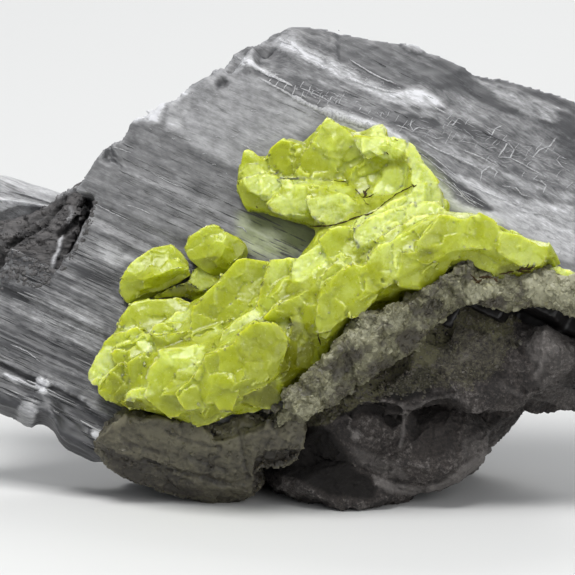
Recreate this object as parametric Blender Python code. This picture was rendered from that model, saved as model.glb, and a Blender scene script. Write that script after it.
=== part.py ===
"""A native sulfur specimen: yellow sulfur crystals on a leaning blade of fibrous gypsum, with a
sugary calcite crust and dark marl below. Metres, +Z up, the specimen stands on z = 0."""

import math
import random

import bmesh
import bpy
from mathutils import Matrix, Vector

MM = 0.001

# Driving dimensions of the gypsum blade. Its front face is the plane through RIDGE_START that
# holds the fibre direction. Crystals are placed on it, in millimetres, by their distance along
# the fibres, their distance down from the ridge, and their lift off the face.
RIDGE_START = Vector((-5.3, 12.0, 46.1)) * MM
FIBRE = Vector((0.848, -0.435, -0.310)).normalized()
FACE_LEAN = Vector((-0.248, -0.836, 0.493))
FACE_OUT = (FACE_LEAN - FACE_LEAN.dot(FIBRE) * FIBRE).normalized()
DOWN_FACE = FIBRE.cross(FACE_OUT)

GAP = 0.3 * MM  # left between neighbouring pieces
LATH_HEIGHTS = (1.9, 4.6)  # the blade splits into laths of these heights
LAYER_DEPTHS = (5.0, 6.0, 7.0, 8.0)  # and these depths, front layer first
LATH_OVERLAP = 0.4
BLADE_TOP = -20.0  # the highest lath, measured down the face from the ridge
BLADE_FOOT = 48.3
FRONT_STEP = 0.8  # how far the laths of the front face step back
LEDGE = 42.0  # below this distance down the face the laths stand further back
LEDGE_STEP = 0.7

# Flat cleavages that bound the blade: a point on each, and its outward normal.
TOP_FACE = (RIDGE_START, Vector((0.145, -0.372, 0.918)))
TOP_SHOULDER = (Vector((10.2, 4.0, 40.5)) * MM, Vector((0.281, -0.438, 0.854)))
BACK_FACE = (Vector((-0.5, 20.6, 48.2)) * MM, Vector((-0.015, 0.944, -0.330)))
RIGHT_END = (Vector((38.0, 0.0, 26.0)) * MM, Vector((0.93, 0.28, -0.22)))
UNDER_FACE = (Vector((-23.0, -7.0, 4.9)) * MM, Vector((0.150, -0.270, -0.951)))

# Where the fibres break off on the left and where the front ones run into the matrix on the
# right: distance down the face, distance along it.
LEFT_BREAK = [
    (-20, 9.0), (-0.7, -0.6), (4, -3.2), (9, -6.6), (14, -8.4), (18, -9.4), (21, -7.8), (29, -7.2),
    (31, -13.0), (35, -15.0), (52, -15.0),
]
RIGHT_BREAK = [
    (-20, 80.0), (7.8, 80.0), (8.6, 49.0), (11.4, 43.6), (13.6, 38.6), (17.6, 34.6), (22.6, 31.0),
    (28, 27.6), (34, 24.6), (52, 16.0),
]
LEFT_SLANT = -0.45  # deeper layers end further out on the left by this share of their depth
RIGHT_SLANT = 1.1

rng = random.Random(11)


def on_face(along, down, lift=0.0):
    """A place given in millimetres on the blade's front face, as a world position."""
    return RIDGE_START + (along * FIBRE + down * DOWN_FACE + lift * FACE_OUT) * MM


def at(x, y, z):
    """A place given in millimetres, as a world position."""
    return Vector((x, y, z)) * MM


def jitter(size):
    return Vector([rng.uniform(-size, size) for _ in range(3)])


def between(stops, where):
    """Reads a value off a broken line of (place, value) stops."""
    for (x0, y0), (x1, y1) in zip(stops, stops[1:]):
        if where <= x1:
            return y0 + (y1 - y0) * (where - x0) / (x1 - x0)
    return stops[-1][1]


# ---------------------------------------------------------------- scene and solids


def clear_scene():
    for obj in list(bpy.data.objects):
        bpy.data.objects.remove(obj)


def new_collection(name):
    collection = bpy.data.collections.new(name)
    bpy.context.scene.collection.children.link(collection)
    return collection


def new_material(name, colour, roughness):
    material = bpy.data.materials.new(name)
    material.use_nodes = True
    shader = material.node_tree.nodes["Principled BSDF"]
    shader.inputs["Base Color"].default_value = (*colour, 1.0)
    shader.inputs["Roughness"].default_value = roughness
    shader.inputs["Metallic"].default_value = 0.0
    return material


def hull(points):
    """A temporary object: the convex solid round some points. Fusing takes it up."""
    bm = bmesh.new()
    for point in points:
        bm.verts.new(point)
    made = bmesh.ops.convex_hull(bm, input=bm.verts)
    spare = {v for v in made["geom_interior"] + made["geom_unused"] if isinstance(v, bmesh.types.BMVert)}
    bmesh.ops.delete(bm, geom=list(spare), context="VERTS")
    bmesh.ops.recalc_face_normals(bm, faces=bm.faces)
    mesh = bpy.data.meshes.new("block")
    bm.to_mesh(mesh)
    bm.free()
    return bpy.data.objects.new("block", mesh)


def grown(points):
    """Points whose hull stands at least one gap outside the hull of the points given."""
    reach = GAP * math.sqrt(3)
    steps = [Vector(way) * reach for way in ((1, 0, 0), (-1, 0, 0), (0, 1, 0), (0, -1, 0), (0, 0, 1),
    (0, 0, -1))]
    return [point + step for point in points for step in steps]


def shifted(plane, distance):
    point, normal = plane
    return (point + normal.normalized() * distance, normal)


def trimmed_box(centre, axes, half_sizes, planes):
    """Corner points of a box along three axes, after flat planes have cut it."""
    bm = bmesh.new()
    bmesh.ops.create_cube(bm, size=2.0)
    for v in bm.verts:
        steps = [axis * half * way for axis, half, way in zip(axes, half_sizes, v.co)]
        v.co = centre + steps[0] + steps[1] + steps[2]
    for point, normal in planes:
        everything = bm.verts[:] + bm.edges[:] + bm.faces[:]
        bmesh.ops.bisect_plane(bm, geom=everything, plane_co=point, plane_no=normal, clear_outer=True)
        if not bm.verts:
            break
        bmesh.ops.holes_fill(bm, edges=bm.edges)
    points = [v.co.copy() for v in bm.verts]
    bm.free()
    return points


def crag(centre, radii, count=20):
    """Corners of an angular block of rock that fills an ellipsoid."""
    points = []
    for i in range(count):
        height = 1 - 2 * (i + 0.5) / count
        turn = i * math.pi * (3 - math.sqrt(5))
        ring = math.sqrt(1 - height * height)
        way = Vector((ring * math.cos(turn), ring * math.sin(turn), height)) + jitter(0.28)
        way.normalize()
        points.append(centre + Vector([way[k] * radii[k] * rng.uniform(0.88, 1.04) for k in range(3)]) * MM)
    return points


def tidied(mesh):
    """Drops stray edges and the loose crumbs that a cut can leave, and parts pinched corners."""
    bm = bmesh.new()
    bm.from_mesh(mesh)
    bmesh.ops.remove_doubles(bm, verts=bm.verts, dist=0.0005 * MM)
    bmesh.ops.delete(bm, geom=[e for e in bm.edges if e.is_wire], context="EDGES")
    bmesh.ops.delete(bm, geom=[v for v in bm.verts if not v.link_edges], context="VERTS")
    for v in [v for v in bm.verts if not v.is_manifold]:
        for part in bmesh.utils.vert_separate(v, v.link_edges):
            middle = sum((e.other_vert(part).co for e in part.link_edges),
            Vector()) / len(part.link_edges)
            part.co = part.co.lerp(middle, 0.05)
    left, islands = set(bm.verts), []
    while left:
        front, island = [left.pop()], set()
        while front:
            v = front.pop()
            island.add(v)
            neighbours = {e.other_vert(v) for e in v.link_edges} & left
            left -= neighbours
            front.extend(neighbours)
        islands.append(island)
    islands.sort(key=len)
    for island in islands[:-1]:
        bmesh.ops.delete(bm, geom=list(island), context="VERTS")
    bm.to_mesh(mesh)
    bm.free()


def fuse(name, pieces, material, cutters=()):
    """One solid object: the pieces joined, less the cutters."""
    workshop = new_collection("joining")
    knives = new_collection("cutting")
    first, rest = pieces[0], pieces[1:]
    bpy.context.scene.collection.objects.link(first)
    for piece in rest:
        workshop.objects.link(piece)
    for cutter in cutters:
        knives.objects.link(cutter)
    for operation, operands in (("UNION", workshop), ("DIFFERENCE", knives)):
        if not operands.objects:
            continue
        boolean = first.modifiers.new(operation.title(), "BOOLEAN")
        boolean.operation = operation
        boolean.operand_type = "COLLECTION"
        boolean.collection = operands
        boolean.solver = "EXACT"
    graph = bpy.context.evaluated_depsgraph_get()
    mesh = bpy.data.meshes.new_from_object(first.evaluated_get(graph))
    mesh.name = name
    for obj in [first, *rest, *cutters]:
        bpy.data.objects.remove(obj)
    bpy.data.collections.remove(workshop)
    bpy.data.collections.remove(knives)
    tidied(mesh)
    mesh.materials.clear()
    mesh.materials.append(material)
    mesh.shade_flat()
    obj = bpy.data.objects.new(name, mesh)
    bpy.data.collections["sulfur_specimen"].objects.link(obj)


def hulls(groups):
    return [hull(points) for points in groups]


def all_grown(groups):
    return [grown(points) for points in groups]


def below_ground():
    """Corners of a block that takes away all that is below the plane the specimen stands on."""
    return [at(x, y, z) for x in (-60, 60) for y in (-60, 60) for z in (-60, 0)]


# ---------------------------------------------------------------- the gypsum blade


def blade_laths(margin=0.0):
    """Corner points of each lath of the blade, each grown outwards by a margin."""
    laths = []
    split = random.Random(5)
    down = BLADE_TOP
    while down < BLADE_FOOT:
        height = min(split.uniform(*LATH_HEIGHTS), BLADE_FOOT - down)
        if BLADE_FOOT - down - height < LATH_HEIGHTS[0]:
            height = BLADE_FOOT - down
        middle = down + height / 2
        deep = 0.0
        for layer, depth in enumerate(LAYER_DEPTHS):
            centre_deep = deep + depth / 2
            left = between(LEFT_BREAK, middle) + LEFT_SLANT * deep + split.uniform(-0.3, 0.5)
            right = between(RIGHT_BREAK, middle) + RIGHT_SLANT * deep
            step = FRONT_STEP * split.random() ** 2 + (LEDGE_STEP if middle > LEDGE else 0.0)
            top_step, under_step = split.uniform(0.0, 0.25), split.uniform(0.0, 1.0)
            back_step, end_step = split.uniform(0.0, 1.2), split.uniform(-1.5, 0.5)
            slant = Vector([split.uniform(-0.22, 0.22) for _ in range(3)])
            left_end = (on_face(left, middle, -centre_deep), -FIBRE + slant)
            planes = [
                shifted((RIDGE_START, FACE_OUT), margin - step * MM),
                shifted(TOP_FACE, margin - top_step * MM),
                shifted(TOP_SHOULDER, margin - top_step * MM),
                shifted(BACK_FACE, margin - back_step * MM),
                shifted(RIGHT_END, margin + end_step * MM),
                shifted(UNDER_FACE, margin - under_step * MM),
                shifted(left_end, margin),
            ]
            half_sizes = (
                (right - left) / 2 * MM + 4 * MM + margin,
                (height / 2 + LATH_OVERLAP) * MM + margin,
                (depth / 2 + LATH_OVERLAP) * MM + margin,
            )
            centre = on_face((left + right) / 2 - 4, middle, -centre_deep)
            points = trimmed_box(centre, (FIBRE, DOWN_FACE, FACE_OUT), half_sizes, planes)
            if len(points) > 5 and max((p - points[0]).length for p in points) > 4 * MM:
                laths.append(points)
            deep += depth
        down += height
    return laths


def make_gypsum_blade(material):
    fuse("gypsum_blade", hulls(blade_laths()), material, hulls([below_ground()]))


# ---------------------------------------------------------------- the sulfur

# Each crystal: its outline on the face (along, down), the lift of its rim, and the corners that
# stand highest (along, down, lift).
MASS_CRYSTALS = {
    "lower core": (
        [(4.6, 36.4), (8.0, 32.6), (14.0, 30.0), (19.0, 26.0), (23.4, 26.6), (24.6, 30.6),
         (22.0, 37.4), (14.0, 40.0), (6.4, 39.8)], 3.6,
        [(8.0, 35.6, 5.0), (13.6, 32.2, 6.2), (20.0, 27.8, 7.2), (22.6, 30.4, 7.0),
         (20.0, 36.4, 7.4), (12.4, 38.4, 6.2)]),
    "middle core": (
        [(14.6, 28.0), (18.6, 20.4), (25.4, 12.6), (30.6, 8.4), (32.4, 17.0), (28.8, 23.6),
         (23.0, 27.6)], 4.6,
        [(18.0, 25.4, 6.0), (21.0, 19.8, 6.6), (27.0, 13.4, 7.2), (30.4, 15.4, 7.6),
         (26.0, 22.6, 7.0)]),
    "right core": (
        [(29.0, 9.0), (33.0, 6.2), (41.6, 6.2), (40.6, 10.6), (34.6, 16.4), (30.0, 18.6)], 4.6,
        [(31.4, 9.6, 7.6), (38.4, 7.6, 7.0), (38.0, 10.6, 6.6), (31.6, 16.8, 7.6)]),
    "left shelf": (
        [(3.1, 33.6), (3.1, 30.8), (5.2, 29.0), (8.2, 27.5), (9.6, 28.0), (9.4, 30.5),
         (7.0, 33.4)], 2.0,
        [(4.4, 31.4, 3.0), (7.8, 28.8, 3.2), (7.0, 31.6, 3.4)]),
    "long slope": (
        [(9.9, 28.4), (11.2, 26.4), (12.3, 22.6), (13.1, 20.6), (17.0, 19.2), (18.6, 18.0),
         (20.2, 21.0), (17.0, 27.0),
         (13.2, 32.0), (11.8, 33.6), (9.6, 34.0), (7.0, 33.0)], 3.0,
        [(11.6, 28.8, 4.6), (13.8, 23.0, 4.4), (16.4, 20.8, 5.0), (18.4, 21.2, 5.4),
         (15.4, 26.4, 5.6), (11.6, 32.0, 5.2), (9.2, 32.2, 4.4)]),
    "lower left": (
        [(3.0, 39.6), (2.8, 36.6), (3.4, 33.6), (6.2, 32.0), (8.6, 33.2), (9.2, 35.4), (9.4, 38.8),
         (8.4, 40.2), (6.0, 40.6), (3.8, 40.0)], 2.6,
        [(4.2, 36.0, 4.0), (5.6, 33.6, 4.4), (7.6, 34.4, 5.0), (7.8, 38.2, 5.2), (5.6, 39.6, 4.2),
         (4.0, 38.6, 3.6)]),
    "lower middle": (
        [(8.6, 36.2), (10.2, 33.2), (14.6, 31.4), (16.6, 33.2), (18.4, 37.4), (17.4, 39.6),
         (15.0, 40.4), (11.4, 40.4), (8.8, 39.4)], 4.6,
        [(10.4, 34.6, 6.4), (13.6, 32.8, 7.4), (16.0, 33.8, 8.0), (16.8, 38.2, 7.6),
         (13.2, 39.8, 6.8), (10.2, 38.4, 6.0)]),
    "big block": (
        [(15.0, 32.2), (16.6, 29.0), (17.9, 26.6), (20.8, 25.6), (23.6, 26.8), (25.0, 29.2),
         (25.2, 32.0), (23.6, 35.0), (21.8, 38.0),
         (18.6, 39.8), (17.4, 38.6), (16.0, 35.4)], 5.4,
        [(17.0, 31.6, 8.2), (19.6, 28.0, 8.4), (22.6, 28.8, 8.4), (23.4, 31.6, 7.6),
         (21.8, 35.0, 8.4), (19.2, 37.8, 8.0), (17.6, 35.2, 8.8)]),
    "block's foot": (
        [(21.0, 36.6), (23.6, 33.6), (25.2, 30.8), (26.2, 33.6), (24.9, 35.8), (21.0, 38.2),
         (18.8, 39.6)], 3.2,
        [(24.0, 34.0, 4.6), (21.4, 37.2, 4.8)]),
    "recess": (
        [(20.4, 25.2), (23.6, 23.2), (27.0, 24.6), (28.2, 27.6), (26.4, 32.0), (23.6, 32.4)], 2.2,
        [(23.4, 25.6, 3.6), (26.2, 27.2, 3.8), (24.6, 30.6, 3.2)]),
    "saddle": (
        [(16.4, 26.6), (18.8, 20.0), (22.6, 16.6), (26.4, 15.6), (27.0, 18.4), (24.4, 22.2),
         (22.6, 25.4), (19.8, 26.8)], 4.8,
        [(18.8, 24.0, 6.6), (21.4, 19.6, 7.2), (24.6, 17.8, 7.6), (22.6, 22.4, 6.8)]),
    "waist": (
        [(22.2, 23.0), (25.2, 18.6), (27.8, 14.6), (31.4, 17.0), (32.6, 19.8), (29.6, 23.0),
         (28.2, 27.6), (25.4, 26.0)], 4.8,
        [(25.4, 20.8, 8.0), (28.0, 17.0, 8.4), (30.2, 19.0, 7.8), (27.8, 22.6, 7.6),
         (26.4, 24.6, 6.0)]),
    "right block": (
        [(27.4, 15.6), (28.6, 10.8), (30.2, 7.4), (33.0, 5.8), (37.2, 4.9), (40.2, 7.0),
         (39.0, 12.4), (36.0, 15.6), (32.4, 19.6), (29.6, 19.0)], 4.8,
        [(29.4, 13.6, 8.4), (31.4, 9.4, 8.6), (35.4, 7.4, 8.2), (37.4, 9.0, 7.6), (36.0, 12.6, 7.8),
         (32.0, 17.0, 8.2)]),
    "right tail": (
        [(36.4, 5.0), (40.0, 5.3), (43.6, 5.2), (45.6, 5.9), (45.9, 7.2), (44.8, 9.2), (41.8, 11.2),
         (37.4, 12.8)], 3.4,
        [(38.4, 7.4, 7.2), (41.6, 6.8, 6.2), (44.0, 7.4, 4.6), (41.4, 9.8, 5.8), (38.4, 11.0, 6.8)]),
    "upper knob": (
        [(6.6, 9.6), (7.6, 8.8), (9.0, 9.1), (11.4, 10.2), (11.8, 13.0), (11.2, 15.0), (9.2, 15.0),
         (7.2, 13.2), (6.4, 11.4)], 1.6,
        [(7.8, 10.8, 3.0), (9.8, 11.0, 3.8), (10.2, 13.4, 3.8), (8.8, 13.6, 3.2)]),
    "upper hump": (
        [(9.4, 9.4), (8.7, 7.7), (9.5, 6.2), (11.9, 5.3), (13.5, 5.9), (14.4, 8.8), (11.8, 10.4)], 1.4,
        [(10.2, 7.8, 3.0), (12.2, 6.8, 3.4), (12.8, 8.6, 3.2)]),
    "upper peak": (
        [(11.7, 5.2), (12.9, 3.9), (13.3, 2.0), (16.7, 1.9), (18.3, 4.4), (17.4, 7.6), (16.6, 9.4),
         (13.3, 9.8)], 1.6,
        [(13.8, 3.8, 3.6), (16.2, 3.8, 4.2), (16.2, 6.4, 2.8), (13.6, 7.4, 3.4)]),
    "bowl's upper rim": (
        [(16.7, 2.8), (18.3, 2.0), (20.5, 1.1), (22.8, 0.5), (25.0, 1.8), (24.4, 3.8), (20.8, 4.4),
         (18.0, 4.8)], 2.2,
        [(18.4, 3.0, 3.8), (21.8, 2.0, 4.4), (23.8, 2.4, 4.4)]),
    "ridge chip": ([(17.5, 1.0), (17.6, 0.3), (18.6, -0.1), (19.6, 0.4), (19.6, 1.8),
    (18.0, 2.4)], 1.0, [(18.7, 0.9, 1.7)]),
    "bowl's right rim": (
        [(23.6, 1.4), (27.6, 3.0), (30.4, 4.8), (31.2, 6.4), (28.6, 8.6), (25.6, 7.0),
         (24.2, 4.0)], 2.4,
        [(25.2, 3.2, 5.0), (28.2, 4.8, 5.8), (29.0, 6.6, 6.0), (26.4, 5.8, 5.4)]),
    "bowl's floor": (
        [(15.0, 7.0), (17.0, 4.2), (20.2, 3.4), (24.0, 3.2), (25.2, 6.2), (24.0, 8.8), (20.6, 10.2),
         (16.6, 9.2)], 1.2,
        [(18.4, 6.6, 2.0), (21.8, 6.0, 1.8)]),
    "bowl's wall": (
        [(19.4, 9.2), (22.6, 8.2), (25.2, 6.0), (28.0, 5.4), (27.6, 8.8), (24.6, 11.2),
         (21.0, 12.2)], 2.2,
        [(21.6, 10.4, 4.0), (25.4, 8.2, 5.0), (27.0, 6.8, 5.6)]),
    "upper step": (
        [(11.2, 11.4), (12.8, 10.2), (16.2, 8.8), (19.7, 8.4), (21.5, 10.2), (20.6, 12.8),
         (17.4, 13.9), (14.9, 14.2), (12.4, 14.4), (11.4, 13.2)], 2.2,
        [(13.0, 12.4, 4.4), (16.2, 10.4, 4.8), (19.4, 10.0, 5.0), (19.0, 11.8, 5.2),
         (15.6, 12.8, 4.8)]),
    "middle ridge": (
        [(18.8, 15.0), (21.0, 12.0), (25.4, 9.6), (28.0, 5.6), (31.6, 6.4), (32.4, 8.0),
         (29.6, 11.6), (28.0, 15.6), (25.2, 19.4), (21.4, 22.4), (18.4, 19.6)], 3.8,
        [(20.6, 15.2, 5.2), (24.6, 11.4, 6.2), (28.6, 8.4, 6.8), (27.0, 12.6, 7.4),
         (23.4, 18.0, 7.2), (20.4, 19.0, 5.8)]),
}
FREE_CRYSTALS = {
    "sulfur_left_crystal": (
        [(0.5, 28.5), (1.0, 26.4), (1.9, 24.2), (3.5, 22.6), (4.6, 22.4), (6.5, 23.2), (7.4, 24.4),
         (6.6, 25.8), (5.2, 27.6), (4.0, 28.9), (2.6, 30.4), (1.4, 29.9)], 1.2,
        [(2.1, 29.0, 4.2), (5.0, 26.8, 4.8), (7.2, 24.8, 4.4), (4.4, 23.6, 3.2)]),
    "sulfur_upper_crystal": (
        [(5.0, 20.4), (6.2, 19.6), (7.8, 18.1), (9.3, 18.3), (11.4, 18.4), (12.1, 19.2),
         (11.8, 20.6), (11.0, 22.9), (10.4, 23.6), (9.0, 23.5), (7.4, 23.0), (5.6, 22.2)], 1.6,
        [(7.6, 20.0, 3.8), (10.2, 19.6, 4.0), (10.8, 21.4, 3.6), (8.8, 22.4, 3.4)]),
    "sulfur_gap_crystal": ([(7.4, 26.5), (8.1, 24.6), (10.4, 24.2), (11.0, 25.0),
    (9.4, 27.2)], 1.0, [(9.2, 25.5, 2.1)]),
    "sulfur_right_chip": ([(46.9, 5.9), (49.2, 5.9), (50.6, 6.8), (49.8, 8.4),
    (47.6, 8.2)], 1.0, [(48.6, 6.8, 2.4)]),
}
CORNER_BREAK = 0.18 * MM  # crystal corners stray this far from their places


def crystal_points(outline, rim, crown):
    """Corners of a faceted crystal standing on the face: its foot, its rim and its crown."""
    points = [on_face(along, down, GAP / MM) for along, down in outline]
    points += [on_face(along, down, rim) + jitter(CORNER_BREAK) for along, down in outline]
    points += [on_face(*corner) + jitter(CORNER_BREAK) for corner in crown]
    return points


def make_sulfur(material):
    """The joined mass and the crystals that stand free of it. Gives every crystal's corners."""
    crystals = [crystal_points(*shape) for shape in MASS_CRYSTALS.values()]
    fuse("sulfur_mass", hulls(crystals), material)
    for name, shape in FREE_CRYSTALS.items():
        points = crystal_points(*shape)
        fuse(name, hulls([points]), material, hulls(all_grown(crystals)))
        crystals.append(points)
    return crystals


# ---------------------------------------------------------------- crust, foot and marl

# Middle line of the sugary crust: along, down, lift and radius on the blade's front face.
CRUST_LINE = [
    (24.4, 34.8, 0.4, 2.2), (26.4, 32.0, 1.2, 2.7), (28.4, 28.6, 1.8, 3.3), (30.2, 25.4, 2.0, 4.0),
    (32.4, 23.2, 2.0, 4.0),
    (34.0, 20.6, 2.0, 3.8), (35.8, 17.8, 1.8, 3.6), (37.2, 15.2, 1.6, 3.0), (39.4, 14.0, 1.0, 2.7),
    (41.6, 13.0, 0.6, 2.5),
    (43.8, 11.4, 0.2, 2.1), (46.2, 10.2, 0.0, 2.0), (48.8, 9.4, 0.0, 1.9),
]
GRAINS_PER_LUMP = 3
GRAIN_SIZE = 1.05


def grain_points(centre, size):
    """Corners of a small blocky crystal, turned at random."""
    axis = jitter(1.0).normalized()
    side = axis.orthogonal().normalized()
    axes = (axis, side, axis.cross(side))
    corners = []
    for i in (-1, 1):
        for j in (-1, 1):
            for k in (-1, 1):
                corner = i * axes[0] + j * axes[1] + k * axes[2]
                corners.append(centre + corner * size * rng.uniform(0.7, 1.0) * MM)
    return corners


def crust_pieces():
    """Corners of the crust's lumps and of the small crystals that stud it."""
    pieces = []
    for along, down, lift, radius in CRUST_LINE:
        centre = on_face(along, down, lift)
        pieces.append(crag(centre, (radius, radius, radius), 12))
        for _ in range(GRAINS_PER_LUMP):
            way = (jitter(1.0) + 0.8 * FACE_OUT + Vector((0, -0.4, 0))).normalized()
            place = centre + way * radius * rng.uniform(0.84, 1.0) * MM
            pieces.append(grain_points(place, GRAIN_SIZE * rng.uniform(0.6, 1.25)))
    return pieces


def make_crust(material, sulfur, laths):
    pieces = crust_pieces()
    cutters = hulls(all_grown(sulfur)) + hulls(laths)
    fuse("calcite_crust", hulls(pieces), material, cutters + hulls([below_ground()]))
    return pieces


# Corners of the cloudy blocks that make the blade's foot.
FOOT_BLOCKS = [
    [(-20.6, -8.6, 7.4), (-20.4, -2.0, 8.0), (-14.0, -9.6, 9.2), (-8.0, -9.6, 8.8),
     (-21.4, -6.6, 3.6), (-18.8, -7.4, 2.2), (-15.4, -7.2, 1.2),
     (-10.0, -6.6, 0.0), (-6.0, -6.2, 0.0), (-17.4, 4.0, 0.0), (-6.0, 6.0, 0.0), (-16.0, 5.0, 6.0),
     (-6.0, 6.0, 8.0)],
    [(-15.5, -9.2, 8.4), (-8.0, -10.8, 9.6), (-3.4, -11.2, 9.8), (-3.2, -9.4, 2.6),
     (-5.0, -7.0, 0.6), (-12.6, -8.2, 1.9), (-10.6, -6.0, 0.0),
     (-5.6, -5.6, 0.0), (-12.0, 6.0, 0.0), (-2.0, 6.0, 0.0), (-8.0, 4.0, 9.0), (-2.4, 3.0, 9.0)],
    [(-5.0, -11.6, 9.8), (1.2, -12.4, 10.2), (2.0, -11.0, 7.6), (0.2, -10.4, 5.0),
     (-3.6, -10.0, 4.4), (-4.0, -2.0, 5.0), (1.4, -3.0, 8.0), (-3.0, -4.0, 10.4)],
]


def make_foot(material, sulfur, laths, crust):
    pieces = [[at(*corner) for corner in block] for block in FOOT_BLOCKS]
    cutters = hulls(all_grown(sulfur + crust)) + hulls(laths)
    fuse("gypsum_foot", hulls(pieces), material, cutters + hulls([below_ground()]))
    return pieces


# Blocks of the marl: the centre and radii of each.
MARL_BLOCKS = [
    ((14.6, -3.0, 6.0), (9.4, 8.8, 6.8)),
    ((14.0, -5.4, 14.6), (10.4, 8.6, 4.6)),
    ((21.0, -6.0, 14.6), (8.0, 8.0, 5.4)),
    ((27.0, -6.0, 16.4), (6.6, 7.0, 5.2)),
    ((29.2, -11.0, 17.6), (2.6, 2.8, 3.0)),
    ((33.0, -5.0, 17.6), (5.4, 7.0, 4.2)),
    ((8.0, -4.6, 9.2), (8.2, 7.0, 6.4)),
    ((3.6, 0.0, 4.6), (8.4, 9.4, 6.4)),
    ((7.0, -3.0, 2.4), (9.4, 9.6, 4.0)),
    ((-3.0, 8.4, 3.4), (13.6, 8.6, 6.4)),
    ((14.0, 8.0, 6.2), (14.0, 9.0, 9.6)),
    ((6.0, 14.0, 9.0), (12.0, 6.0, 11.6)),
    ((25.0, 3.0, 12.0), (9.0, 8.0, 8.0)),
]
# Corners of the dark hollow under the crust on the right.
HOLLOW = [(25.4, -16.0, 21.6), (27.0, -16.0, 23.6), (31.4, -16.0, 24.0), (34.6, -16.0, 23.0),
(34.4, -16.0, 17.6), (31.6, -16.0, 17.2), (31.0, -16.0, 20.8),
          (26.8, -7.0, 20.6), (27.6, -7.0, 22.4), (33.6, -7.0, 22.0), (33.0, -7.0, 18.6),
          (31.8, -7.0, 18.6)]


def make_marl(material, sulfur, laths, crust, foot):
    pieces = [crag(at(*centre), radii, 18) for centre, radii in MARL_BLOCKS]
    hollow = [at(*corner) for corner in HOLLOW]
    cutters = hulls(all_grown(sulfur + crust + foot)) + hulls(laths)
    fuse("marl_matrix", hulls(pieces), material, cutters + hulls([hollow, below_ground()]))


# ---------------------------------------------------------------- the left-hand fragments

# Corners of the flakes of clay wedged behind the fibres' broken ends, and of the blade behind.
SHALE_FLAKES = [
    [(-20.2, 11.6, 34.4), (-24.6, 10.4, 29.4), (-26.4, 8.6, 25.2), (-28.0, 9.0, 21.6),
     (-26.0, 7.6, 21.4), (-32.4, 11.0, 26.4), (-32.0, 14.6, 28.6),
     (-25.0, 15.2, 32.8), (-20.4, 14.8, 34.0), (-22.0, 16.0, 28.0), (-28.0, 15.6, 21.6),
     (-33.0, 15.0, 22.6)],
    [(-29.0, 10.6, 28.6), (-36.2, 12.0, 26.0), (-37.0, 16.0, 26.8), (-29.6, 15.4, 29.2),
     (-29.6, 11.0, 22.6), (-36.0, 13.0, 20.8), (-34.0, 16.0, 20.4)],
]
REAR_BLADE = [
    [(-25.4, 20.6, 30.6), (-29.6, 21.4, 32.6), (-33.0, 20.8, 33.4), (-39.0, 21.2, 33.8),
     (-39.6, 17.4, 30.0), (-39.0, 17.0, 27.6),
     (-32.0, 16.6, 28.4), (-26.0, 16.4, 30.2), (-21.6, 17.0, 30.8), (-22.0, 22.0, 26.4),
     (-38.4, 23.6, 27.0), (-30.0, 23.6, 24.0)],
    [(-27.0, 16.8, 29.4), (-38.0, 17.2, 28.0), (-38.6, 18.4, 24.0), (-24.0, 17.4, 24.0),
     (-20.6, 17.0, 28.4), (-21.0, 21.0, 23.0), (-36.0, 23.4, 23.2)],
]


def make_left_fragments(shale_material, gypsum_material, laths):
    shale = [[at(*corner) for corner in flake] for flake in SHALE_FLAKES]
    rear = [[at(*corner) for corner in flake] for flake in REAR_BLADE]
    fuse("shale_wedge", hulls(shale), shale_material, hulls(laths))
    fuse("gypsum_rear_blade", hulls(rear), gypsum_material, hulls(laths) + hulls(all_grown(shale)))


def stand_over_origin():
    """Moves the specimen so that the origin is the middle of its bounding box's underside."""
    objects = bpy.data.collections["sulfur_specimen"].objects
    corners = [v.co for obj in objects for v in obj.data.vertices]
    low = [min(corner[k] for corner in corners) for k in range(3)]
    high = [max(corner[k] for corner in corners) for k in range(3)]
    shift = Vector((-(low[0] + high[0]) / 2, -(low[1] + high[1]) / 2, -low[2]))
    for obj in objects:
        obj.data.transform(Matrix.Translation(shift))


def main():
    clear_scene()
    new_collection("sulfur_specimen")
    gypsum = new_material("fibrous gypsum", (0.42, 0.42, 0.43), 0.35)
    cloudy = new_material("cloudy gypsum", (0.33, 0.31, 0.27), 0.45)
    sulfur_yellow = new_material("native sulfur", (0.72, 0.74, 0.08), 0.30)
    calcite = new_material("sugary calcite", (0.40, 0.38, 0.33), 0.60)
    marl_grey = new_material("dark marl", (0.09, 0.08, 0.075), 0.90)
    shale_grey = new_material("clay shale", (0.12, 0.11, 0.11), 0.85)
    make_gypsum_blade(gypsum)
    laths = blade_laths(margin=GAP)
    sulfur = make_sulfur(sulfur_yellow)
    crust = make_crust(calcite, sulfur, laths)
    foot = make_foot(cloudy, sulfur, laths, crust)
    make_marl(marl_grey, sulfur, laths, crust, foot)
    make_left_fragments(shale_grey, gypsum, laths)
    stand_over_origin()


main()
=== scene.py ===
import math

import bmesh
import bpy
import numpy as np
from mathutils import Matrix, Vector, kdtree, noise


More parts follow.
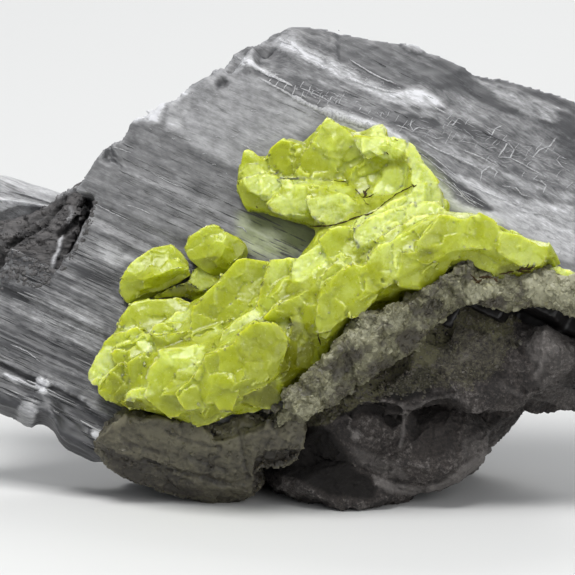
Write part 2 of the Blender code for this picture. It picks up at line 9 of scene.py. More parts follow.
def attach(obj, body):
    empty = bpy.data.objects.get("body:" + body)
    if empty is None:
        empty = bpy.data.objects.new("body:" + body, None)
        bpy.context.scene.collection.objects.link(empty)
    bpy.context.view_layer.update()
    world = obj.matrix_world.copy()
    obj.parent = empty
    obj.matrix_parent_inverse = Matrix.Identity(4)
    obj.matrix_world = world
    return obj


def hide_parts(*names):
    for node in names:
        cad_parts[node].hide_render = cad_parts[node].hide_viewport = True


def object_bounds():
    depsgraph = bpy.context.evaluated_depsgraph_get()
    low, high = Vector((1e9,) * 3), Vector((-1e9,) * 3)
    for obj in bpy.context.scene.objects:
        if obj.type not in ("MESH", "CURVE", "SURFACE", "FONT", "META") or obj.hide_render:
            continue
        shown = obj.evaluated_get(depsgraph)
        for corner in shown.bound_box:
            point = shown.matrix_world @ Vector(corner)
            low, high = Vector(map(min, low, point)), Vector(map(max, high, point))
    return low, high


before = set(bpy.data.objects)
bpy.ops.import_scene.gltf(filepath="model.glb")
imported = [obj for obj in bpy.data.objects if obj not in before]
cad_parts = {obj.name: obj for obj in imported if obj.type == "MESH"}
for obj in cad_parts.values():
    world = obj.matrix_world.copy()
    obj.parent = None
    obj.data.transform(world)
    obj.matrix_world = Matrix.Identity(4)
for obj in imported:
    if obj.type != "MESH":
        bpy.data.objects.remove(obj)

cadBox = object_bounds()
mm = 0.001
tiny = 1e-9  # keeps a division from failing
frontward = 0.3  # a surface whose normal's Y is below this can be seen from the front
bpy.context.scene.view_settings.view_transform = "Standard"

# the blade's front face: along the fibres, down from the ridge, and out towards the viewer
ridgeStart = Vector((-4.946, 8.416, 46.1)) * mm
along = Vector((0.848, -0.435, -0.310)).normalized()
faceLean = Vector((-0.248, -0.836, 0.493))
outward = (faceLean - faceLean.dot(along) * along).normalized()
downward = along.cross(outward)
faceTurn = Matrix((along, downward, -outward)).transposed()
faceTurnEuler = tuple(faceTurn.to_euler())
topOut = Vector((0.145, -0.372, 0.918)).normalized()


view = {
    "aim": (0.354, 1.094, 22.01),  # mm
    "elevation": 12,
    "away": 2.0,  # metres
    "wide": 63.889,  # mm seen across the frame
    "frame": 575,  # the frame's width and height in its own units
    "sensor": 36,  # mm
}


def added(name, data):
    # a new object in the scene
    obj = bpy.data.objects.new(name, data)
    bpy.context.scene.collection.objects.link(obj)
    return obj


def makeCamera():
    lens = bpy.data.cameras.new("camera")
    lens.sensor_width = view["sensor"]
    lens.lens = view["sensor"] * view["away"] / (view["wide"] * mm)
    lens.clip_end = 20
    camera = added("camera", lens)
    rise = math.radians(view["elevation"])
    back = Vector((0, -math.cos(rise), math.sin(rise)))
    camera.location = Vector(view["aim"]) * mm + back * view["away"]
    camera.rotation_euler = (math.pi / 2 - rise, 0, 0)
    bpy.context.scene.camera = camera
    bpy.context.view_layer.update()
    return camera


camera = makeCamera()


def sightLine(across, down):
    # where a line of sight starts and points, for a place in the frame
    half = view["frame"] / 2
    reach = view["wide"] * mm / 2 / view["away"]
    way = Vector(((across - half) / half * reach, (half - down) / half * reach, -1))
    return camera.location.copy(), (camera.rotation_euler.to_matrix() @ way).normalized()


def inFrame(places):
    # where places in mm fall in the frame
    away = places - np.array(camera.location) / mm
    seen = away @ np.array(camera.rotation_euler.to_matrix())
    half = view["frame"] / 2
    scale = half * view["away"] / (view["wide"] * mm / 2) / -seen[:, 2]
    return np.stack((half + seen[:, 0] * scale, half - seen[:, 1] * scale), 1)


def inside(spots, outline):
    # which spots an outline holds
    held = np.zeros(len(spots), bool)
    for (x0, y0), (x1, y1) in zip(outline, outline[1:] + outline[:1]):
        crosses = (y0 > spots[:, 1]) != (y1 > spots[:, 1])
        held ^= crosses & (spots[:, 0] < (x1 - x0) * (spots[:, 1] - y0) / (y1 - y0 + tiny) + x0)
    return held


ruler = added("ruler", None)  # turns and stretches the displacement patterns


def pickUp(obj):
    bpy.ops.object.select_all(action="DESELECT")
    obj.select_set(True)
    bpy.context.view_layer.objects.active = obj


def finishWith(obj, kind, **settings):
    made = obj.modifiers.new(kind.title(), kind)
    for key, value in settings.items():
        setattr(made, key, value)
    pickUp(obj)
    bpy.ops.object.modifier_apply(modifier=made.name)


def editAll(step, **settings):
    # one step of edit mode on the whole of the active mesh
    bpy.ops.object.mode_set(mode="EDIT")
    bpy.ops.mesh.select_all(action="SELECT")
    step(**settings)
    bpy.ops.object.mode_set(mode="OBJECT")


def castOf(node, name):
    # a merged copy of a CAD solid, the start of a natural surface
    obj = added(name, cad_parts[node].data.copy())
    obj.data.materials.clear()
    pickUp(obj)
    editAll(bpy.ops.mesh.remove_doubles, threshold=0.002 * mm)
    return obj


def softened(obj, voxel, rounds=2, swell=0.0):
    # evens the mesh out to small faces, with the edges a little worn
    finishWith(obj, "REMESH", mode="VOXEL", voxel_size=voxel * mm, use_smooth_shade=True)
    if swell:
        finishWith(obj, "DISPLACE", strength=swell * mm, mid_level=0)
    if rounds:
        finishWith(obj, "SMOOTH", factor=0.5, iterations=rounds)


def weighted(obj, name, weights, most=12):
    # a vertex group, its weights rounded to a few levels
    group = obj.vertex_groups.new(name=name)
    levels = np.rint(np.clip(weights, 0, 1) * most).astype(int)
    for level in range(1, most + 1):
        group.add([int(i) for i in np.nonzero(levels == level)[0]], level / most, "REPLACE")


def roughened(obj, size, depth, stretch=(1, 1, 1), group="", octaves=2):
    # pushes the surface in and out by clouds that may be drawn out along the fibres
    texture = bpy.data.textures.new(f"{obj.name} clouds", "CLOUDS")
    texture.noise_scale = size
    texture.noise_depth = octaves
    ruler.matrix_world = Matrix.LocRotScale(ridgeStart, faceTurn.to_quaternion(), Vector(stretch) * mm)
    bpy.context.view_layer.update()
    finishWith(obj, "DISPLACE", texture=texture, texture_coords="OBJECT", texture_coords_object=ruler,
               strength=depth * mm, mid_level=0.5, vertex_group=group)
    bpy.data.textures.remove(texture)


def readMesh(obj):
    # corner places and normals, in mm
    count = len(obj.data.vertices)
    places, normals = np.empty(count * 3), np.empty(count * 3)
    obj.data.vertices.foreach_get("co", places)
    obj.data.vertex_normals.foreach_get("vector", normals)
    return places.reshape(-1, 3) / mm, normals.reshape(-1, 3)


def writeMesh(obj, places):
    obj.data.vertices.foreach_set("co", (places * mm).ravel())
    obj.data.update()


def toFace(places):
    return (places - np.array(ridgeStart) / mm) @ np.array(faceTurn)


def smoothStep(values, low, high):
    t = np.clip((values - low) / (high - low), 0, 1)
    return t * t * (3 - 2 * t)


def patchCount(obj, spacing):
    # how many patches of a size cover a piece
    area = np.empty(len(obj.data.polygons))
    obj.data.polygons.foreach_get("area", area)
    return int(area.sum() / mm ** 2 / spacing ** 2) + 4


def scalloped(obj, spacing, depth, seed, tilt=0.6, bowl=0.5, neighbours=5):
    # breaks the surface into shallow conchoidal scars that meet in edges
    places, normals = readMesh(obj)
    picker = np.random.default_rng(seed)
    count = patchCount(obj, spacing)
    seeds = places[picker.integers(0, len(places), count)] + picker.normal(0, spacing * 0.2, (count, 3))
    tilts = picker.normal(0, tilt, (count, 3))
    levels = picker.uniform(0, 0.6, count)
    tree = kdtree.KDTree(count)
    for i, place in enumerate(seeds):
        tree.insert(place, i)
    tree.balance()
    near = np.array([[found[1] for found in tree.find_n(place, neighbours)] for place in places])
    away = (places[:, None, :] - seeds[near]) / spacing
    height = (bowl * (away ** 2).sum(2) + (away * tilts[near]).sum(2) + levels[near]).min(1)
    height = np.clip(height - np.median(height), -1, 1) * depth
    writeMesh(obj, places + normals * height[:, None])


def faceted(obj, spacing, strength, seed, tilt=0.05, turnWeight=1.2, deepest=0.3, batch=8000):
    # flattens patches of the surface into plane facets that meet in crisp edges
    places, normals = readMesh(obj)
    picker = np.random.default_rng(seed)
    count = patchCount(obj, spacing)
    chosen = picker.choice(len(places), count, False)
    reach = np.hstack((places / spacing, normals * turnWeight)).astype(np.float32)
    marks = reach[chosen]
    size = (marks ** 2).sum(1)
    owner = np.empty(len(places), int)
    for start in range(0, len(places), batch):
        part = slice(start, start + batch)
        owner[part] = (size - 2 * reach[part] @ marks.T).argmin(1)
    share = np.maximum(np.bincount(owner, minlength=count), 1)[:, None]
    centres, facing = (np.stack([np.bincount(owner, values[:, k], count) for k in range(3)], 1) / share
                       for values in (places, normals))
    facing /= np.linalg.norm(facing, axis=1)[:, None] + tiny
    planes = facing + picker.normal(0, tilt, (count, 3))
    planes /= np.linalg.norm(planes, axis=1)[:, None]
    off = ((places - centres[owner]) * planes[owner]).sum(1)
    off = np.clip(off, -deepest * spacing, deepest * spacing) * strength
    writeMesh(obj, places - planes[owner] * off[:, None])


def plateOn(target, outline, leanRight, leanUp, raised, thick=2.0, taper=0.72):
    # a flat-fronted crystal that fills an outline in the frame and lies on a piece
    turn = camera.rotation_euler.to_matrix()
    toView = turn @ Vector((0, 0, 1))
    middle = [sum(spot[k] for spot in outline) / len(outline) for k in range(2)]
    spots = [middle] + [[middle[k] + (spot[k] - middle[k]) * share for k in range(2)]
                        for share in (0.5, 0.9) for spot in outline]
    tries = [target.ray_cast(*sightLine(*spot)) for spot in spots]
    hits = sorted((place for found, place, _, _ in tries if found), key=lambda place: place.dot(toView))
    if not hits:
        return None
    normal = (turn @ Vector((leanRight, leanUp, 1))).normalized()

    def onPlane(spot, centre, facing):
        start, way = sightLine(*spot)
        return start + way * (centre - start).dot(facing) / way.dot(facing)

    centre = onPlane(middle, hits[len(hits) // 2] + toView * raised * mm, toView)
    front = [onPlane(spot, centre, normal) for spot in outline]
    back = [centre + (corner - centre) * taper - toView * thick * mm for corner in front]
    return front + back, centre, normal


def hullOf(name, points):
    mesh = bpy.data.meshes.new(name)
    work = bmesh.new()
    for point in points:
        work.verts.new(point)
    made = bmesh.ops.convex_hull(work, input=work.verts)
    spare = {v for v in made["geom_interior"] + made["geom_unused"] if isinstance(v, bmesh.types.BMVert)}
    bmesh.ops.delete(work, geom=list(spare), context="VERTS")
    bmesh.ops.recalc_face_normals(work, faces=work.faces)
    work.to_mesh(mesh)
    work.free()
    return added(name, mesh)


def joined(obj, others):
    pickUp(obj)
    for other in others:
        other.select_set(True)
    bpy.ops.object.join()


def noteValues(obj, name, values):
    # keeps a value for each corner on the mesh, for the finish to read
    kept = obj.data.attributes.get(name) or obj.data.attributes.new(name, "FLOAT", "POINT")
    kept.data.foreach_set("value", values.astype(np.float32))


def evened(obj, values, rounds):
    # averages a value over neighbouring corners
    ends = np.empty(len(obj.data.edges) * 2, int)
    obj.data.edges.foreach_get("vertices", ends)
    first, second = ends.reshape(-1, 2).T
    count = len(values)
    share = np.maximum(np.bincount(first, minlength=count) + np.bincount(second, minlength=count), 1)
    for _ in range(rounds):
        total = np.bincount(first, values[second], count) + np.bincount(second, values[first], count)
        values = total / share
    return values


def noteRelief(obj, name, rounds, scale):
    # how far each corner stands out from, or lies in, the surface round it
    places, normals = readMesh(obj)
    even = np.stack([evened(obj, places[:, k], rounds) for k in range(3)], 1)
    noteValues(obj, name, ((places - even) * normals).sum(1) / scale)


def wavering(places, size, seed=0.0):
    # a smooth wander for each place, in three directions
    starts = [Vector([seed + k * apart for apart in (9.3, -4.7, 2.9)]) for k in range(3)]
    spots = [Vector(place) for place in places / size]
    return np.array([[noise.noise(spot + start) for start in starts] for spot in spots])


def waveringFrame(places, size, amount, seed=0.0):
    # where places fall in the frame, shifted a little so that a mask's edge wanders
    return inFrame(places) + wavering(places, size, seed)[:, :2] * amount


def fitted(obj, line, upper=True, reach=45):
    # draws a piece's upper or lower outline to a line in the frame; the move dies away over reach
    sign = 1 if upper else -1
    first, last, step = -80, 720, 4  # the columns in which the outline is read
    empty, margin, core = 1e4, 25, 0.15
    places = readMesh(obj)[0]
    spots = inFrame(places)
    columns = np.arange(first, last, step)
    rows = np.clip(((spots[:, 0] - first) / step).round().astype(int), 0, len(columns) - 1)
    edge = np.full(len(columns), empty)
    np.minimum.at(edge, rows, sign * spots[:, 1])
    seen = edge < empty / 10
    across, down = np.array(line).T
    known = seen & (columns >= across[0]) & (columns <= across[-1])
    shift = np.interp(columns, columns[known], (np.interp(columns, across, down) - sign * edge)[known])
    edge = np.interp(columns, columns[seen], edge[seen])
    shift = np.convolve(np.pad(shift, 1, "edge"), (0.25, 0.5, 0.25), "valid")
    fall = 1 - smoothStep(sign * spots[:, 1] - np.interp(spots[:, 0], columns, edge), reach * core, reach)
    ends = smoothStep(spots[:, 0], across[0] - margin, across[0]) \
        * (1 - smoothStep(spots[:, 0], across[-1], across[-1] + margin))
    amount = np.interp(spots[:, 0], columns, shift) * fall * ends * view["wide"] / view["frame"]
    up = np.array(camera.rotation_euler.to_matrix() @ Vector((0, 1, 0)))
    writeMesh(obj, places - up * amount[:, None])


def marked(obj, marks, name="tone", rounds=1, wander=1.2):
    # patches and lines given in the frame: width (0 for a patch), height (mm), tone, corners
    places, normals = readMesh(obj)
    spots = waveringFrame(places, 1.2, wander)
    toView = np.array(camera.rotation_euler.to_matrix() @ Vector((0, 0, 1)))
    near = np.flatnonzero(normals @ toView > 0.05)
    spots = spots[near]
    tones, heights = np.zeros(len(places)), np.zeros(len(places))
    for width, height, tone, corners in marks:
        if width:
            off = np.full(len(near), np.inf)
            for start, end in zip(corners, corners[1:]):
                start, way = np.array(start), np.subtract(end, start)
                share = np.clip((spots - start) @ way / (way @ way), 0, 1)
                off = np.minimum(off, np.linalg.norm(spots - start - share[:, None] * way, axis=1))
            held = 1 - smoothStep(off, width * 0.3, width * 0.8)
        else:
            held = inside(spots, corners).astype(float)
        tones[near] = np.where(held > 0, tones[near] * (1 - held) + tone * held, tones[near])
        heights[near] += height * held
    heights = evened(obj, heights, rounds)
    writeMesh(obj, places + normals * heights[:, None])
    noteValues(obj, name, evened(obj, tones, rounds))


def traced(name, targets, lines, height, jitter, seed, spacing=2.2, wander=0.15, lift=0.05):
    # thin strands that follow lines given in the frame and lie on a piece: width (mm), corners
    picker = np.random.default_rng(seed)
    turns = (0, math.pi / 3, 2 * math.pi / 3, math.pi, 1.5 * math.pi)
    sides = len(turns)
    places, faces = [], []
    for width, corners in lines:
        spine = []
        for start, end in zip(corners, corners[1:]):
            steps = max(2, round(math.dist(start, end) / spacing))
            for i in range(steps + (end == corners[-1])):
                spot = [start[k] + (end[k] - start[k]) * i / steps + picker.normal(0, wander)
                        for k in range(2)]
                origin, sight = sightLine(*spot)
                met = [target.ray_cast(origin, sight) for target in targets]
                met = [(place, normal) for found, place, normal, _ in met if found]
                if met:
                    spine.append(min(met, key=lambda hit: (hit[0] - origin).length))
        rings = []
        for i, (place, normal) in enumerate(spine):
            place = place + normal * lift * mm
            way = spine[min(i + 1, len(spine) - 1)][0] - spine[max(i - 1, 0)][0]
            if way.length < 1e-6 or abs(way.normalized().dot(normal)) > 0.95:
                continue
            side = way.cross(normal).normalized()
            share = i / max(1, len(spine) - 1)
            wide = width * mm * (0.25 + 0.75 * math.sin(math.pi * min(0.5, 3 * min(share, 1 - share)))) \
                * (1 + picker.uniform(-jitter, jitter))
            rings.append([place + side * wide * 0.5 * math.cos(turn) + normal * wide * height * math.sin(turn)
                          for turn in turns])
        for i, ring in enumerate(rings):
            start = len(places)
            places.extend(ring)
            if i:
                before = start - sides
                faces.extend((before + k, before + (k + 1) % sides, start + (k + 1) % sides, start + k)
                             for k in range(sides))
            if i in (0, len(rings) - 1):
                end = range(start, start + sides)
                faces.append(tuple(reversed(end) if i else end))
    mesh = bpy.data.meshes.new(name)
    mesh.from_pydata(places, [], faces)
    obj = added(name, mesh)
    pickUp(obj)
    editAll(bpy.ops.mesh.normals_make_consistent, inside=False)
    return obj


def settled(obj, material, nodes=(), sharp=None):
    # keeps a piece inside the specimen's box, gives it its finish and ties it to the model
    places = readMesh(obj)[0]
    low, high = (np.array(corner) / mm for corner in cadBox)
    spare = 0.002
    writeMesh(obj, np.clip(places, low + spare, high - spare))
    obj.data.materials.clear()
    obj.data.materials.append(material)
    pickUp(obj)
    if sharp is None:  # the angle, in degrees, past which edges show
        bpy.ops.object.shade_smooth()
    elif sharp == 0:
        bpy.ops.object.shade_flat()
    else:
        bpy.ops.object.shade_smooth_by_angle(angle=math.radians(sharp))
    obj.vertex_groups.clear()
    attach(obj, "root")
    if nodes:
        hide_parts(*nodes)
    print("made", obj.name, len(obj.data.polygons), "faces")


def thinned(obj, most=190000):
    # takes faces away where the surface is flattest until few enough are left
    count = sum(len(face.vertices) - 2 for face in obj.data.polygons)
    finishWith(obj, "DECIMATE", ratio=min(1, most / count))
    print("thinned", obj.name, len(obj.data.polygons), "faces")


def modelShape(obj):
    # corners and faces of a small model, and the model put away
    places = np.array([v.co[:] for v in obj.data.vertices])
    faces = [tuple(face.vertices) for face in obj.data.polygons]
    bpy.data.objects.remove(obj)
    return places, faces


def keptValues(obj, name):
    # the values that a mesh keeps, or none
    values = np.zeros(len(obj.data.vertices), np.float32)
    if name in obj.data.attributes:
        obj.data.attributes[name].data.foreach_get("value", values)
    return values


def strewn(name, shapes, turns, tones):
    # many placed copies of a few small models, as one mesh, each with the tone of its place
    places, faces, kept, start = [], [], [], 0
    for i, turn in enumerate(turns):
        corners, sides = shapes[i % len(shapes)]
        turn = np.array(turn)
        places.append(corners @ turn[:3, :3].T + turn[:3, 3])
        kept.append(np.full(len(corners), tones[i]))
        faces.extend(tuple(start + k for k in side) for side in sides)
        start += len(corners)
    mesh = bpy.data.meshes.new(name)
    mesh.from_pydata(np.concatenate(places).tolist(), [], faces)
    mesh.update()
    obj = added(name, mesh)
    noteValues(obj, "tone", np.concatenate(kept))
    return obj


def turnTo(place, axis, side, sizes):
    # a copy's matrix: its X along axis, its Y near side, scaled by sizes in mm
    axis = Vector(axis).normalized()
    third = axis.cross(Vector(side)).normalized()
    second = third.cross(axis)
    turned = Matrix((axis, second, third)).transposed().to_4x4()
    return Matrix.Translation(Vector(place) * mm) @ turned @ Matrix.Diagonal((*[s * mm for s in sizes], 1))


class Value:
    # a socket that can stand in a sum
    def __init__(self, paint, socket):
        self.paint = paint
        self.socket = socket

    def __add__(self, other):
        return self.paint.sum("ADD", self, other)

    def __radd__(self, other):
        return self.paint.sum("ADD", other, self)

    def __sub__(self, other):
        return self.paint.sum("SUBTRACT", self, other)

    def __rsub__(self, other):
        return self.paint.sum("SUBTRACT", other, self)

    def __mul__(self, other):
        return self.paint.sum("MULTIPLY", self, other)

    def __rmul__(self, other):
        return self.paint.sum("MULTIPLY", other, self)


class Paint:
    def __init__(self, name, **fixed):
        self.material = bpy.data.materials.new(name)
        self.material.use_nodes = True
        self.tree = self.material.node_tree
        self.shader = self.tree.nodes["Principled BSDF"]
        for socket, value in fixed.items():
            self.shader.inputs[socket.replace("_", " ")].default_value = value
        spot = self.node("TexCoord", {}, {}, "Object")
        self.spot = self.node("VectorMath", {"operation": "SCALE"}, {"Vector": spot, "Scale": 1 / mm},
                              "Vector")
        turned = {"Vector": spot, "Location": ridgeStart, "Rotation": faceTurnEuler, "Scale": (mm, mm, mm)}
        self.faceSpot = self.node("Mapping", {"vector_type": "TEXTURE"}, turned, "Vector")
        self.along, self.down, self.deep = self.parts(self.faceSpot)

    def node(self, kind, settings, sockets, out=0):
        made = self.tree.nodes.new("ShaderNode" + kind)
        for key, value in settings.items():
            setattr(made, key, value)
        for key, value in sockets.items():
            if isinstance(value, Value):
                self.tree.links.new(value.socket, made.inputs[key])
            else:
                made.inputs[key].default_value = value
        return Value(self, made.outputs[out])

    def sum(self, operation, first, second):
        return self.node("Math", {"operation": operation}, {0: first, 1: second})

    def around(self, value, *layers):
        # layers of noise push a value up and down, each by its amount
        for layer, amount in layers:
            value = value + (layer - 0.5) * amount
        return value

    def clamped(self, value):
        return self.node("Clamp", {}, {"Value": value})

    def parts(self, vector):
        made = self.tree.nodes.new("ShaderNodeSeparateXYZ")
        self.tree.links.new(vector.socket, made.inputs[0])
        return [Value(self, socket) for socket in made.outputs]

    def stretched(self, vector, scale):
        return self.node("VectorMath", {"operation": "MULTIPLY"}, {0: vector, 1: scale})

    def noise(self, vector, scale=1.0, detail=3.0, rough=0.5, warp=0.0):
        return self.node("TexNoise", {}, {"Vector": vector, "Scale": scale, "Detail": detail,
                                          "Roughness": rough, "Distortion": warp})

    def cells(self, vector, scale, out="Distance", **settings):
        return self.node("TexVoronoi", settings, {"Vector": vector, "Scale": scale}, out)

    def step(self, value, low, high):
        return self.node("MapRange", {"interpolation_type": "SMOOTHSTEP"},
                         {"Value": value, "From Min": low, "From Max": high})

    def mix(self, factor, first, second):
        first, second = (colour if isinstance(colour, Value) else (*colour, 1) for colour in (first, second))
        return self.node("Mix", {"data_type": "RGBA"}, {0: factor, 6: first, 7: second}, 2)

    def kept(self, name):
        # a value that the mesh keeps for each corner
        return self.node("Attribute", {"attribute_name": name}, {}, "Fac")

    def bump(self, height, strength, distance, before=None):
        sockets = {"Height": height, "Strength": strength, "Distance": distance * mm}
        if before is not None:
            sockets["Normal"] = before
        return self.node("Bump", {}, sockets, "Normal")

    def feed(self, socket, value):
        self.tree.links.new(value.socket, self.shader.inputs[socket])


gypsum = {
    "shadow": (0.006, 0.005, 0.005),
    "dark": (0.045, 0.045, 0.048),
    "middle": (0.15, 0.15, 0.152),
    "light": (0.36, 0.36, 0.365),
    "frost": (0.66, 0.66, 0.68),
    # the sulfur's tint seen through the blade, lighter than the blade: partly painted light
    "tintAndPaintedLightColour": (0.32, 0.36, 0.18),
    "seamDark": (0.24, 0.24, 0.243),
    "seamLight": (0.46, 0.46, 0.467),
    "voxel": 0.32,
    "fibres": (0.55, 0.16, (9, 1, 1)),  # size, depth (mm), stretch
    "laths": (1.7, 0.4, (6, 1, 1)),
    "lumps": (1.6, 0.2),
    "lower": (12, 26),  # mm below the ridge from where to where the fibres come out
    "needles": 900,
    "needlesFrom": (8, 16),  # mm below the ridge
    "needlesTo": 30,  # mm along it
    "needleHalf": (0.8, 4.0),  # mm, shortest and longest
    "needleWidth": (0.06, 0.14),
    "rearVoxel": 0.2,
    "rearForward": 1.1,  # mm that the rear blade's front comes forward to meet the shale
    "rearLumps": (2.5, 0.4, (2, 1, 1)),
    "rearFibres": (0.8, 0.12, (2, 1, 1)),
    "rearTone": 0.3,
}

# outlines and lines in the frame, from left to right
bladeOutline = ((100, 153), (110, 142), (121, 138), (132, 122), (150, 110), (164, 104), (180, 93),
        (200, 80), (212, 71), (222, 66), (231, 57), (240, 51), (250, 44), (262, 42), (271, 36), (281, 31),
        (287, 27), (295, 25), (310, 27), (330, 30), (352, 36), (372, 40), (400, 44), (420, 50), (440, 56),
        (460, 66), (475, 76), (500, 79), (520, 84), (540, 90), (560, 96), (575, 102), (590, 106))
bladeFoot = ((-60, 385), (0, 414), (20, 422), (30, 428), (42, 424), (55, 430), (58, 440), (66, 449),
        (80, 455), (92, 462), (105, 462), (125, 466))
rearOutline = ((-60, 168), (0, 175), (20, 180), (45, 187), (62, 193), (80, 200))

# marks on the blade: width (0 for a patch), height (mm), tone, corners
bladeMarks = [
    (0, 0, -0.5, ((-20, 366), (10, 378), (40, 388), (75, 405), (112, 424), (130, 440), (130, 475),
        (60, 455), (-20, 425))),
    (0, 0, -0.1, ((0, 250), (130, 255), (128, 300), (100, 340), (96, 362), (60, 352), (0, 330))),
    (0, -0.2, -0.45, ((0, 246), (14, 250), (34, 258), (56, 264), (52, 276), (38, 284), (20, 280), (0, 288))),
    (0, -0.1, -0.25, ((0, 285), (20, 278), (40, 284), (52, 276), (50, 292), (30, 300), (0, 305))),
    (6, 0.04, 1.1, ((237, 57), (246, 63), (262, 72), (276, 79), (290, 88), (305, 98), (320, 106),
        (335, 114), (350, 119), (368, 125), (388, 131))),
    (0, 0, -0.55, ((300, 30), (340, 40), (380, 48), (420, 62), (416, 84), (390, 82), (364, 70), (340, 56),
        (310, 42))),
    (0, 0, -0.14, ((262, 68), (290, 74), (330, 88), (380, 104), (395, 112), (395, 124), (360, 116),
        (320, 102), (290, 86))),
    (0, 0, -0.04, ((470, 130), (520, 130), (580, 140), (580, 195), (540, 190), (500, 172), (470, 155))),
    # painted shadow: the hollow between the blade and the marl lump, which the shadow colour turns near black
    (0, 0, -1.0, ((425, 300), (470, 304), (520, 303), (590, 308), (590, 370), (425, 360))),
    (0, 0, -0.14, ((0, 346), (30, 352), (60, 362), (88, 380), (80, 400), (40, 395), (0, 375))),
    # painted shade: darker towards the back of the top face
    (0, 0, -0.3, ((285, 20), (340, 25), (400, 35), (450, 50), (500, 70), (580, 90), (580, 140), (530, 118),
        (490, 108), (450, 92), (420, 82), (390, 76), (360, 66), (330, 50), (300, 36))),
    (0, 0, 0.19, ((100, 119), (133, 122), (160, 125), (180, 136), (200, 152), (216, 159), (232, 166),
        (240, 168), (262, 160), (300, 140), (326, 120), (345, 118), (300, 94), (262, 72), (238, 60),
        (225, 40), (120, 90))),
    (0, 0.1, 0.75, ((148, 108), (157, 103), (167, 102), (163, 110), (160, 122), (150, 122), (143, 118),
        (133, 122), (138, 116))),
    (0, 0, 0.5, ((167, 120), (178, 118), (182, 123), (178, 128), (168, 126))),
    (3, 0.1, 0.95, ((175, 98), (180, 93), (185, 92))),
    (0, -0.4, -0.45, ((222, 80), (226, 78), (226, 84), (221, 87), (219, 92), (217, 86))),
    (0, -0.5, -0.6, ((103, 153), (110, 143), (113, 151), (117, 159), (109, 161), (103, 159))),
    (0, 0, -0.16, ((240, 68), (262, 79), (285, 92), (305, 103), (330, 113), (350, 119), (345, 110),
        (320, 98), (300, 88), (280, 79), (262, 71), (246, 64))),
    (0, 0, -0.04, ((190, 148), (206, 155), (236, 170), (236, 200), (243, 212), (243, 228), (215, 222),
        (190, 205))),
    (0, 0, 0.18, ((96, 240), (105, 243), (120, 250), (132, 258), (118, 270), (106, 262), (96, 250))),
    (0, 0, 0.1, ((28, 293), (60, 300), (90, 312), (106, 325), (98, 352), (80, 345), (50, 330), (30, 318))),
    (0, 0, -0.48, ((0, 325), (20, 326), (60, 345), (95, 365), (86, 380), (60, 362), (30, 352), (0, 346))),
    (3, 0.2, 0.8, ((6, 375), (18, 380), (33, 388))),
    (0, 0.35, 0.85, ((37, 379), (44, 380), (50, 384), (47, 392), (41, 393), (36, 387))),
    (0, 0.2, 0.25, ((22, 397), (34, 398), (38, 410), (34, 428), (24, 430), (15, 420), (18, 408))),
    (0, 0, -0.38, ((40, 400), (60, 402), (104, 421), (112, 432), (90, 430), (60, 428), (40, 414))),
    (0, 0.5, 0.8, ((92, 430), (101, 429), (106, 435), (99, 442), (91, 438))),
    (0, 0, 0.55, ((280, 36), (292, 40), (312, 50), (345, 66), (368, 80), (392, 91), (418, 89), (440, 98),
        (446, 107), (420, 107), (392, 102), (368, 93), (340, 79), (312, 62), (290, 50), (270, 45))),
    (0, 0, -0.3, ((384, 72), (400, 74), (416, 78), (412, 86), (400, 89), (386, 84))),
    (0, 0, -0.4, ((385, 114), (400, 113), (436, 119), (440, 126), (424, 130), (404, 127), (388, 121))),
    (0, 0, -0.34, ((450, 122), (462, 119), (482, 127), (496, 133), (490, 138), (470, 136), (456, 130))),
    (0, 0, 0.08, ((405, 134), (430, 138), (470, 150), (500, 160), (498, 168), (470, 160), (440, 152),
        (415, 142))),
    (0, 0, 0.2, ((560, 108), (540, 100), (500, 86), (470, 76), (500, 100), (530, 118), (560, 124))),
    (0, 0, -0.3, ((556, 109), (568, 110), (572, 116), (564, 119), (556, 115))),
    (0, 0, 0.25, ((420, 142), (440, 152), (470, 164), (505, 182), (545, 196), (575, 203), (575, 192),
        (545, 188), (505, 172), (470, 155), (440, 145))),
    (0, 0, 0.34, ((445, 172), (470, 178), (500, 193), (535, 202), (575, 206), (575, 262), (550, 258),
        (520, 236), (497, 222), (484, 211), (460, 204), (450, 190))),
    (0, 0, 0.5, ((326, 104), (345, 112), (380, 124), (400, 134), (412, 144), (430, 158), (450, 178),
        (452, 196), (462, 204), (490, 212), (500, 224), (480, 224), (440, 200), (400, 160), (380, 136),
        (345, 128), (326, 112))),
    (0, -0.15, -0.42, ((408, 142), (422, 150), (440, 166), (452, 178), (468, 188), (480, 197), (494, 211),
        (480, 209), (462, 202), (450, 192), (438, 180), (424, 164), (412, 152))),
    (0, 0.5, 0.6, ((402, 43), (412, 41), (421, 46), (421, 52), (408, 50))),
]

# where the sulfur shows through the blade as a greenish tint, lighter than the blade, which also lifts the
# shade that the sulfur casts there: partly painted light
tintAndPaintedLightMarks = [
    (0, 0, 0.9, ((238, 212), (262, 210), (284, 219), (310, 226), (318, 240), (300, 255), (270, 258),
        (250, 254), (238, 236))),
    (0, 0, 0.5, ((228, 232), (244, 240), (250, 256), (236, 262), (226, 250))),
    (0, 0, 0.6, ((326, 118), (345, 124), (384, 134), (410, 142), (428, 158), (448, 182), (455, 204),
        (490, 214), (505, 224), (490, 226), (440, 204), (400, 160), (380, 140), (345, 132))),
]

